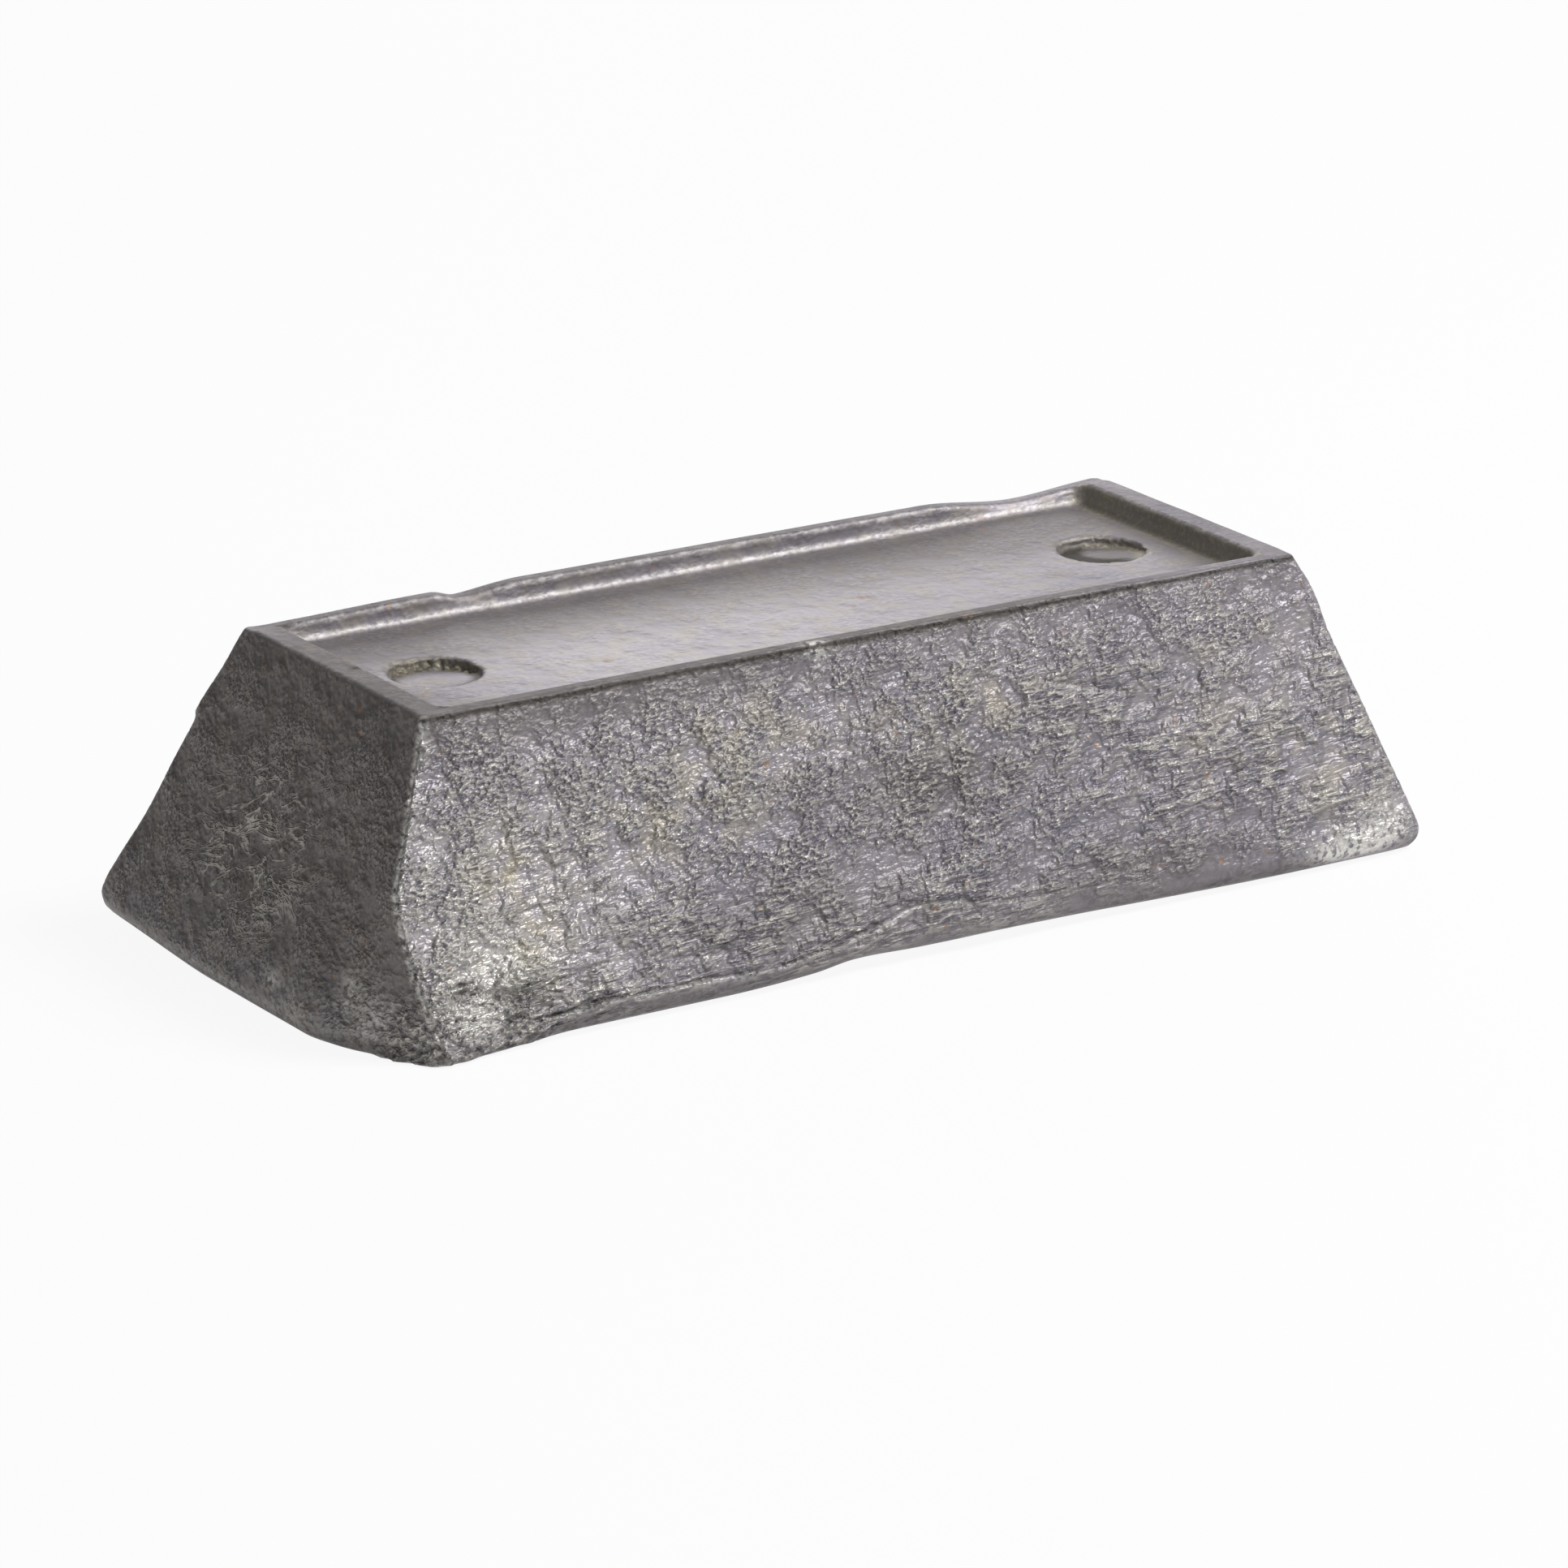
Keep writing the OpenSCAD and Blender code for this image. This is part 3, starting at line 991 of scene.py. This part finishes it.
# Dabs on the left end: width and height of the middle instead
END_WORN = (
    ((-31, 10), (2.2, 3), 0.6), ((-13, 7), (2, 1.5), 0.6), ((-22, 5), (8, 3), 0.25), ((-36, 6), (3, 5), 0.45),
)
LEAST_STRAW = 0.06
worn_front = front * dabs(x, z, WORN)
straw_front = front * (LEAST_STRAW + (1 - LEAST_STRAW) * dabs(x, z, STRAW))
paint_mask(ingot, "straw", (1, straw_front), (0.3, in_mouth), (0.35, left_end))
# Besides paler tone, this mask holds painted sheen on the tray's floor and a painted highlight at the foot of
# the back wall
paint_mask(ingot, "pale", (1, front * dabs(x, z, PALE_DABS)), (0.6, floor_sheen), (0.6, wall_foot))
# Besides wear, this mask holds painted highlights on the ledges of the laps and at the foot of the back wall
paint_mask(
    ingot, "worn", (1, worn_front), (1, left_end * dabs(y, z, END_WORN)), (1, ledges), (1, nick),
    (0.4, low_corner), (0.3, wall_foot), (0.3, end_lip), (0.7, rubbed_corner),
)

# %% Masks of soot, dirt, rust and painted shade
# Besides soot, this mask holds painted shade on the whole left end and on the tray's floor
paint_mask(
    ingot, "soot_and_shade", (1, sooted_front), (0.7, front * band), (1, shade_on_end), (0.92, sooted_rim),
    (0.2, back_wall), (0.6, below_lip), (0.7, floor_shade),
)
# Besides dirt, this mask holds painted shade along the rim's outer edge, in the crevices of the laps and in
# the hollows, and the flanks darker towards their foot
paint_mask(
    ingot, "grime_and_shade", (1, rim_line), (1, inner_line), (1, rim_pit), (1, crevices), (0.55, hollow), (0.8, dross),
    (0.8, dirty_wall), (1, crescent), (0.4, darker_foot * (1 - worn_front)),
)
paint_mask(ingot, "rusty", (0.6, far_wall), (1, dross), (1, rusty_wall))

# %% [markdown]
# ## Shader nodes
#
# The three materials of the casting share their effects, so each effect is a node group: the relief of
# the cast grain, the rub, grime and painted shade of edges, and the colours of the tarnish. In the shader
# editor each group would be wired by hand. Here small helpers add a node and fill its sockets in one line.

# %% Helpers for shader nodes
NOISE_FIT = 0.8
SOCKET_KINDS = {"Place": "NodeSocketVector", "Colour": "NodeSocketColor"}


def add_node(tree, kind, inputs=(), **settings):
    """Add one node, set it, and give its inputs a number or a link each."""
    made = tree.nodes.new(kind)
    for key, value in settings.items():
        setattr(made, key, value)
    for key, value in inputs:
        if isinstance(value, bpy.types.NodeSocket):
            tree.links.new(value, made.inputs[key])
        else:
            made.inputs[key].default_value = value
    return made


def calc(tree, operation, a, b=0.0, c=0.0):
    return add_node(tree, "ShaderNodeMath", ((0, a), (1, b), (2, c)), operation=operation).outputs[0]


def times(tree, a, b):
    return calc(tree, "MULTIPLY", a, b)


def tone(tree, value, low, high):
    """A smooth step from 0 at low to 1 at high."""
    pairs = (("Value", value), ("From Min", low), ("From Max", high))
    return add_node(tree, "ShaderNodeMapRange", pairs, interpolation_type="SMOOTHSTEP").outputs["Result"]


def mix(tree, factor, low, high):
    """Mix two colours, each a link or four numbers."""
    return add_node(tree, "ShaderNodeMix", ((0, factor), (6, low), (7, high)), data_type="RGBA").outputs[2]


def noise(tree, place, size, detail=2.0, distortion=0.0, roughness=0.5):
    """Noise whose lumps are about as wide as the size."""
    pairs = (
        ("Vector", place), ("Scale", NOISE_FIT / size), ("Detail", detail),
        ("Distortion", distortion), ("Roughness", roughness),
    )
    return add_node(tree, "ShaderNodeTexNoise", pairs).outputs["Fac"]


def stretched(tree, place, stretch, turn):
    """Coordinates that are drawn out along the axes of a turned frame."""
    pairs = (("Vector", place), ("Scale", stretch), ("Rotation", turn))
    return add_node(tree, "ShaderNodeMapping", pairs, vector_type="TEXTURE").outputs["Vector"]


def new_group(name, inputs, outputs):
    """An empty node group whose sockets are named in two lists of words."""
    group = bpy.data.node_groups.new(name, "ShaderNodeTree")
    for in_out, labels in (("INPUT", inputs), ("OUTPUT", outputs)):
        for label in labels.split():
            kind = SOCKET_KINDS.get(label, "NodeSocketFloat")
            group.interface.new_socket(label, in_out=in_out, socket_type=kind)
    return group, group.nodes.new("NodeGroupInput").outputs, group.nodes.new("NodeGroupOutput").inputs


# %% [markdown]
# ## Cast grain
#
# The grain is finer than any mesh should be: pebbles of half a millimetre from the mould's wall, streaks
# that follow the metal's flow, clumps in the crust, and thin veins on the left end. Each is a noise of its
# own size and stretch. The group adds them to one height for the bump, and also gives their crests and
# pits, because the tarnish paints a highlight on each crest and shade in each pit.

# %% Cast grain
PEBBLE_SIZE, PEBBLE_SHARE = 0.48 * MM, 1.25
LUMP_SIZE, LUMP_SHARE = 1.1 * MM, 0.3
WRINKLE_SIZE = 0.6 * MM
CLUMP_SIZE, CLUMP_SHARE = 0.8 * MM, 1.2
SWELL_SIZE, SWELL_HEIGHT, SWELL_TONES = 6 * MM, 1.2, (0.36, 0.64)
SWELL_RANGE, SWELL_LEAST = 1.1, 0.3
RISE = math.radians(8)
# Where the painted highlight on the crests and the painted shade in the pits fade in
CREST_TONES, PIT_TONES = (0.52, 0.61), (0.48, 0.38)
grain_group, given, result = new_group(
    "cast_grain", "Place Pebbles Wrinkles Crust Folds", "Height Crest Pit"
)
tree = grain_group
slow = noise(tree, given["Place"], SWELL_SIZE, 3, roughness=0.6)
swell = calc(tree, "MULTIPLY_ADD", tone(tree, slow, *SWELL_TONES), SWELL_RANGE, SWELL_LEAST)
height_sum = times(tree, slow, SWELL_HEIGHT)
crest = pit = 0.0
# Each pattern: its mask and share, the size of its lumps, its stretch and turn, its detail and distortion
for mask, share, size, stretch, turn, detail, distortion in (
    ("Pebbles", times(tree, swell, PEBBLE_SHARE), PEBBLE_SIZE, 1.8, -RISE, 1, 0),
    ("Pebbles", LUMP_SHARE, LUMP_SIZE, 1.8, -RISE, 1, 0),
    ("Wrinkles", swell, WRINKLE_SIZE, 5.5, -RISE / 2, 2, 0.7),
    ("Crust", CLUMP_SHARE, CLUMP_SIZE, 2, -RISE, 2, 0.4),
):
    drawn = stretched(tree, given["Place"], (stretch, 1, 1), (0, turn, 0))
    pattern = noise(tree, drawn, size, detail, distortion)
    weight = times(tree, given[mask], share)
    height_sum = calc(tree, "MULTIPLY_ADD", pattern, weight, height_sum)
    crest = calc(tree, "MAXIMUM", crest, times(tree, tone(tree, pattern, *CREST_TONES), weight))
    pit = calc(tree, "MAXIMUM", pit, times(tree, tone(tree, pattern, *PIT_TONES), weight))

# %% Veins on the left end
FOLD_SIZE = 3.2 * MM
FLAME_TILT = math.radians(-25)
FLAME_STRETCH = (1, 2, 1)
VEIN_TONES, VEIN_GAPS = (0.05, 0), (0.3, 0.46)
VEIN_HEIGHT, VEIN_CREST = 0.2, 0.9
flamed = stretched(tree, given["Place"], FLAME_STRETCH, (FLAME_TILT, 0, 0))
waves = calc(tree, "SUBTRACT", noise(tree, flamed, FOLD_SIZE, 3, 1.0, 0.6), MIDDLE_GREY)
veins = tone(tree, calc(tree, "ABSOLUTE", waves), *VEIN_TONES)
veins = times(tree, veins, tone(tree, slow, *VEIN_GAPS))
veins = times(tree, veins, given["Folds"])
height_sum = calc(tree, "MULTIPLY_ADD", veins, VEIN_HEIGHT, height_sum)
# The veins also get the painted highlight of a crest
crest = calc(tree, "MAXIMUM", crest, times(tree, veins, VEIN_CREST))
tree.links.new(height_sum, result["Height"])
tree.links.new(calc(tree, "MINIMUM", crest, 1.0), result["Crest"])
tree.links.new(calc(tree, "MINIMUM", pit, 1.0), result["Pit"])
print("cast grain has", len(tree.nodes), "nodes")

# %% [markdown]
# ## Rub, grime and painted shade of edges
#
# Whatever touches the casting rubs its sharp edges bright, and dirt stays in its inner corners, which are
# darkened further as painted shade. Pointiness tells both from the mesh: it is above a half on an edge and
# below a half in a corner. A noise breaks the rub up into specks, because no edge wears evenly.

# %% Rub and grime of edges
SPECK_SIZE, SPECK_TONES = 1.8 * MM, (0.42, 0.62)
EDGE_TONES, INNER_TONES = (0.51, 0.56), (0.465, 0.40)
wear_group, given, result = new_group("edge_wear", "Place Pointiness", "Rub Grime")
tree = wear_group
specks = tone(tree, noise(tree, given["Place"], SPECK_SIZE), *SPECK_TONES)
tree.links.new(times(tree, tone(tree, given["Pointiness"], *EDGE_TONES), specks), result["Rub"])
# Dirt, and painted shade, in the inner corners
tree.links.new(tone(tree, given["Pointiness"], *INNER_TONES), result["Grime"])
print("edge wear has", len(tree.nodes), "nodes")

# %% [markdown]
# ## Tarnish
#
# Lead takes on thin films: lavender and slate, then straw where it stayed hot for longer. Soot, dirt and
# rust from the mould lie on top, and worn places shine through. Painted shade lies in the pits of the grain,
# the crevices, the hollows, on the left end and on the tray's floor, and painted highlights on the crests and
# ledges. A painter would glaze one coat over another. Here each coat is a colour that is mixed in where its
# mask is strong, in the same order.

# %% Tarnish colours
LAVENDER = (0.372, 0.342, 0.382, 1)
SLATE = (0.278, 0.258, 0.308, 1)
STRAW_FILM = (0.55, 0.49, 0.36, 1)
# CREAM is a painted highlight on the grain's crests
CREAM = (0.72, 0.69, 0.62, 1)
# BRIGHT is wear, and painted highlights on the ledges and at the foot of the back wall
BRIGHT = (0.84, 0.82, 0.78, 1)
# SOOT_AND_SHADE is soot, and painted shade on the left end and the tray's floor
SOOT_AND_SHADE = (0.165, 0.147, 0.137, 1)
# DIRT_AND_SHADE is dirt, and painted shade along the rim's outer edge, in crevices, hollows and inner corners
DIRT_AND_SHADE = (0.060, 0.054, 0.046, 1)
RUST = (0.40, 0.25, 0.14, 1)
# PIT is painted shade in the grain's pits
PIT = (0.110, 0.099, 0.117, 1)
# PALE is a paler tone, and painted sheen and highlight in the tray
PALE = (0.68, 0.64, 0.67, 1)
OLIVE = (0.36, 0.33, 0.24, 1)
GOLD = (0.58, 0.51, 0.34, 1)

# %% Patterns of the tarnish
# Each noise: its size, its detail, and the two tones between which it fades in
CLOUDS = (24 * MM, 4, 0.35, 0.65)
BRIGHT_SPECKS = (0.9 * MM, 3, 0.38, 0.52)
GOLD_FLECKS = (0.7 * MM, 2, 0.48, 0.72)
RUST_SPOTS = (2.2 * MM, 2, 0.66, 0.74)
RUSTY_PLACES = (18 * MM, 1, 0.5, 0.62)
MOTTLE_SIZE = 4 * MM
FILM_TONES, SCUFF_TONES = (0.42, 0.66), (0.4, 0.62)
SCUFF_RANGE, SCUFF_LEAST = 0.35, 0.6
LIFT_LEAST, STRAW_LIFT, PALE_LIFT = 0.6, 0.3, 0.3
OLIVE_SHARE = 0.8
tarnish_group, given, result = new_group(
    "lead_tarnish", "Place Crest Pit Straw Pale Worn Soot Grime Rusty Dullness", "Colour Roughness"
)
tree = tarnish_group


def specked(size, detail, low, high):
    """A noise of one size in the tarnish, with everything but its peaks faded out."""
    return tone(tree, noise(tree, given["Place"], size, detail), low, high)


mottle = noise(tree, given["Place"], MOTTLE_SIZE, 3)
film = times(tree, given["Straw"], tone(tree, mottle, *FILM_TONES))
scuffs = calc(tree, "MULTIPLY_ADD", tone(tree, mottle, *SCUFF_TONES), SCUFF_RANGE, SCUFF_LEAST)
lift = calc(tree, "MULTIPLY_ADD", given["Straw"], STRAW_LIFT, LIFT_LEAST)
lift = calc(tree, "MULTIPLY_ADD", given["Pale"], PALE_LIFT, lift)
rusted = times(tree, given["Rusty"], OLIVE_SHARE)
rust_spots = times(tree, specked(*RUST_SPOTS), specked(*RUSTY_PLACES))

# %% Coats of tarnish
SOOT_AND_SHADE_SHARE, PIT_SHARE, RUST_SHARE = 0.86, 0.62, 0.6
MOTTLE_ROUGHNESS = 0.2
colour = mix(tree, specked(*CLOUDS), LAVENDER, SLATE)
for factor, coat in (
    # Paler tone, with painted sheen on the tray's floor and a painted highlight at the foot of the back wall
    (times(tree, given["Pale"], scuffs), PALE),
    (film, STRAW_FILM),
    # Soot, with painted shade on the left end and the tray's floor
    (times(tree, given["Soot"], SOOT_AND_SHADE_SHARE), SOOT_AND_SHADE),
    # Painted shade in the grain's pits
    (times(tree, given["Pit"], PIT_SHARE), PIT),
    # Painted highlight on the grain's crests
    (times(tree, given["Crest"], lift), CREAM),
    # Wear, with painted highlights on the ledges and at the foot of the back wall
    (times(tree, given["Worn"], specked(*BRIGHT_SPECKS)), BRIGHT),
    (rusted, OLIVE),
    # Dirt, with painted shade along the rim's outer edge, in crevices, hollows and inner corners
    (given["Grime"], DIRT_AND_SHADE),
    (times(tree, rusted, specked(*GOLD_FLECKS)), GOLD),
    (times(tree, rust_spots, RUST_SHARE), RUST),
):
    colour = mix(tree, factor, colour, coat)
tree.links.new(colour, result["Colour"])
# What each mask adds to the roughness
rough = calc(tree, "MULTIPLY_ADD", mottle, MOTTLE_ROUGHNESS, given["Dullness"])
for label, change in (("Pale", -0.04), ("Soot", 0.1), ("Crest", -0.08), ("Pit", 0.06), ("Grime", 0.2)):
    rough = calc(tree, "MULTIPLY_ADD", given[label], change, rough)
tree.links.new(rough, result["Roughness"])
print("node groups:", [group.name for group in bpy.data.node_groups])

# %% [markdown]
# ## Lead
#
# Fresh lead is bright, but it dulls to a lavender grey within days. The flanks are pebbly, the tray is a
# satin grey with dirt along its walls, and the poured base is plain. One function makes all three: the
# flanks take their grain from the painted masks, and the other two from a plain number.

# %% Lead materials
INNER_GRIME_AND_SHADE, PAINTED_GRIME_AND_SHADE, EDGE_RUB = 0.6, 0.85, 0.35


def mask_node(tree, mask):
    """The value of a painted mask. A plain number is given back as it is."""
    if not isinstance(mask, str):
        return mask
    return add_node(tree, "ShaderNodeAttribute", attribute_name=mask).outputs["Fac"]


def place_group(tree, group, pairs):
    return add_node(tree, "ShaderNodeGroup", pairs, node_tree=group).outputs


def lead_material(name, metallic, dullness, bump_depth, pebbles, wrinkles):
    """One kind of lead skin: how metallic it is, how deep its grain is, and what the grain is made of."""
    material = bpy.data.materials.new(name)
    material.use_nodes = True
    tree = material.node_tree
    shader = tree.nodes["Principled BSDF"]
    place = add_node(tree, "ShaderNodeTexCoord").outputs["Object"]
    pointiness = add_node(tree, "ShaderNodeNewGeometry").outputs["Pointiness"]
    grain = place_group(tree, grain_group, (
        ("Place", place), ("Pebbles", mask_node(tree, pebbles)), ("Wrinkles", mask_node(tree, wrinkles)),
        ("Crust", mask_node(tree, "crusted")), ("Folds", mask_node(tree, "folded")),
    ))
    wear = place_group(tree, wear_group, (("Place", place), ("Pointiness", pointiness)))
    # The painted mask holds dirt and painted shade
    painted_dirt_and_shade = times(tree, mask_node(tree, "grime_and_shade"), PAINTED_GRIME_AND_SHADE)
    # Dirt and painted shade from the inner corners and from the mask
    dirt_and_shade = calc(tree, "MAXIMUM", times(tree, wear["Grime"], INNER_GRIME_AND_SHADE), painted_dirt_and_shade)
    bright = calc(tree, "MAXIMUM", times(tree, wear["Rub"], EDGE_RUB), mask_node(tree, "worn"))
    skin = place_group(tree, tarnish_group, (
        ("Place", place), ("Crest", grain["Crest"]), ("Pit", grain["Pit"]), ("Worn", bright),
        ("Straw", mask_node(tree, "straw")), ("Pale", mask_node(tree, "pale")), ("Grime", dirt_and_shade),
        ("Soot", mask_node(tree, "soot_and_shade")), ("Rusty", mask_node(tree, "rusty")), ("Dullness", dullness),
    ))
    bump = add_node(
        tree, "ShaderNodeBump", (("Strength", 1.0), ("Distance", bump_depth), ("Height", grain["Height"]))
    )
    tree.links.new(skin["Colour"], shader.inputs["Base Color"])
    tree.links.new(skin["Roughness"], shader.inputs["Roughness"])
    tree.links.new(bump.outputs["Normal"], shader.inputs["Normal"])
    shader.inputs["Metallic"].default_value = metallic
    return material


cast_flank = lead_material("cast_flank", 0.55, 0.42, 1.7 * MM, "pebbly", "wrinkled")
mould_satin = lead_material("mould_satin", 0.55, 0.44, 0.5 * MM, 0.1, 0.05)
poured_base = lead_material("poured_base", 0.85, 0.3, 0.8 * MM, 0.2, 0.3)
print("materials:", cast_flank.name, mould_satin.name, poured_base.name)

# %% [markdown]
# ## Giving each face its skin
#
# A mesh has a list of materials, and each face holds a place in that list. By hand one would select faces
# and press Assign. Here the direction of a face's first corner decides: down is the poured base, and up, or
# anywhere in the tray, is the satin that the mould's floor left.

# %% Skins of the faces
TOP_RISE = 0.8
FLANK_SKIN, TRAY_SKIN, BASE_SKIN = 0, 1, 2
ingot.data.materials.clear()
for material in (cast_flank, mould_satin, poured_base):
    ingot.data.materials.append(material)
top_face = (normals[:, 2] > TOP_RISE) & (z > floor_z - TRAY_REACH) | in_mouth
base_face = normals[:, 2] < -TOP_RISE
skins = np.where(base_face, BASE_SKIN, np.where(top_face, TRAY_SKIN, FLANK_SKIN))
for face in ingot.data.polygons:
    face.material_index = int(skins[face.vertices[0]])
make_active(ingot)
bpy.ops.object.shade_smooth()
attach(ingot, "root")
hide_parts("ingot")
print(len(ingot.data.polygons), "faces in", len(ingot.data.materials), "skins")

# %% [markdown]
# ## The studio
#
# The ingot lies on white paper. To the camera and in reflections the paper is mostly a white glow, so that
# it stays white, and the rest of it still takes the shadow. To all other light it is plain paper. A shadow
# catcher would need a second picture behind it, and this needs none.

# %% Paper on the floor
FLOOR_SIZE = 12
PAPER_WHITE = (0.9, 0.9, 0.9, 1)
GLOW_WHITE = (1, 1, 1, 1)
GLOW_SHARE = 0.91
bpy.ops.object.select_all(action="DESELECT")
bpy.ops.mesh.primitive_plane_add(size=FLOOR_SIZE, location=(0, 0, 0))
studio_floor = bpy.context.object
studio_floor.name = "studio_floor"
paper = bpy.data.materials.new("white_paper")
paper.use_nodes = True
tree = paper.node_tree
diffuse = tree.nodes["Principled BSDF"]
diffuse.inputs["Base Color"].default_value = PAPER_WHITE
diffuse.inputs["Roughness"].default_value = 1
diffuse.inputs["Specular IOR Level"].default_value = 0
glow = add_node(tree, "ShaderNodeEmission", (("Color", GLOW_WHITE), ("Strength", 1.0)))
rays = add_node(tree, "ShaderNodeLightPath").outputs
mirrored = calc(tree, "MAXIMUM", rays["Is Glossy Ray"], rays["Is Transmission Ray"])
seen = calc(tree, "MAXIMUM", rays["Is Camera Ray"], mirrored)
share = times(tree, seen, GLOW_SHARE)
blend = add_node(tree, "ShaderNodeMixShader", ((0, share), (1, diffuse.outputs[0]), (2, glow.outputs[0])))
tree.links.new(blend.outputs[0], tree.nodes["Material Output"].inputs["Surface"])
studio_floor.data.materials.append(paper)
print("paper of", FLOOR_SIZE, "m")

# %% [markdown]
# ## Lamps
#
# A soft lamp stands high on the front right, so that every pebble and ledge shows, and the left end stays
# dark. A second panel, low behind on the right, mirrors in the tray. A dim grey world fills the shadows.

# %% Lamps and world
WORLD_GREY = (0.2, 0.2, 0.2, 1)
# Each panel: its name, its direction from the ingot, its distance, width and depth in metres, and its watts
PANELS = (
    ("key_lamp", (0.47, -0.36, 0.81), 1.4, 0.45, 0.45, 15.8),
    ("tray_panel", (0.47, 0.83, 0.33), 1.5, 0.9, 0.5, 4.2),
)


def soft_panel(name, direction, distance, width, depth, power):
    """A rectangular area lamp that faces the ingot."""
    place = INGOT_MIDDLE + Vector(direction).normalized() * distance
    data = bpy.data.lights.new(name, "AREA")
    data.shape = "RECTANGLE"
    data.size = width
    data.size_y = depth
    data.energy = power
    lamp = bpy.data.objects.new(name, data)
    lamp.location = place
    lamp.rotation_euler = (place - INGOT_MIDDLE).to_track_quat("Z", "Y").to_euler()
    bpy.context.collection.objects.link(lamp)


for panel in PANELS:
    soft_panel(*panel)
world = bpy.data.worlds.new("studio")
world.use_nodes = True
world.node_tree.nodes["Background"].inputs["Color"].default_value = WORLD_GREY
bpy.context.scene.world = world
bpy.context.scene.view_settings.view_transform = "Standard"
print(len(PANELS), "lamps")
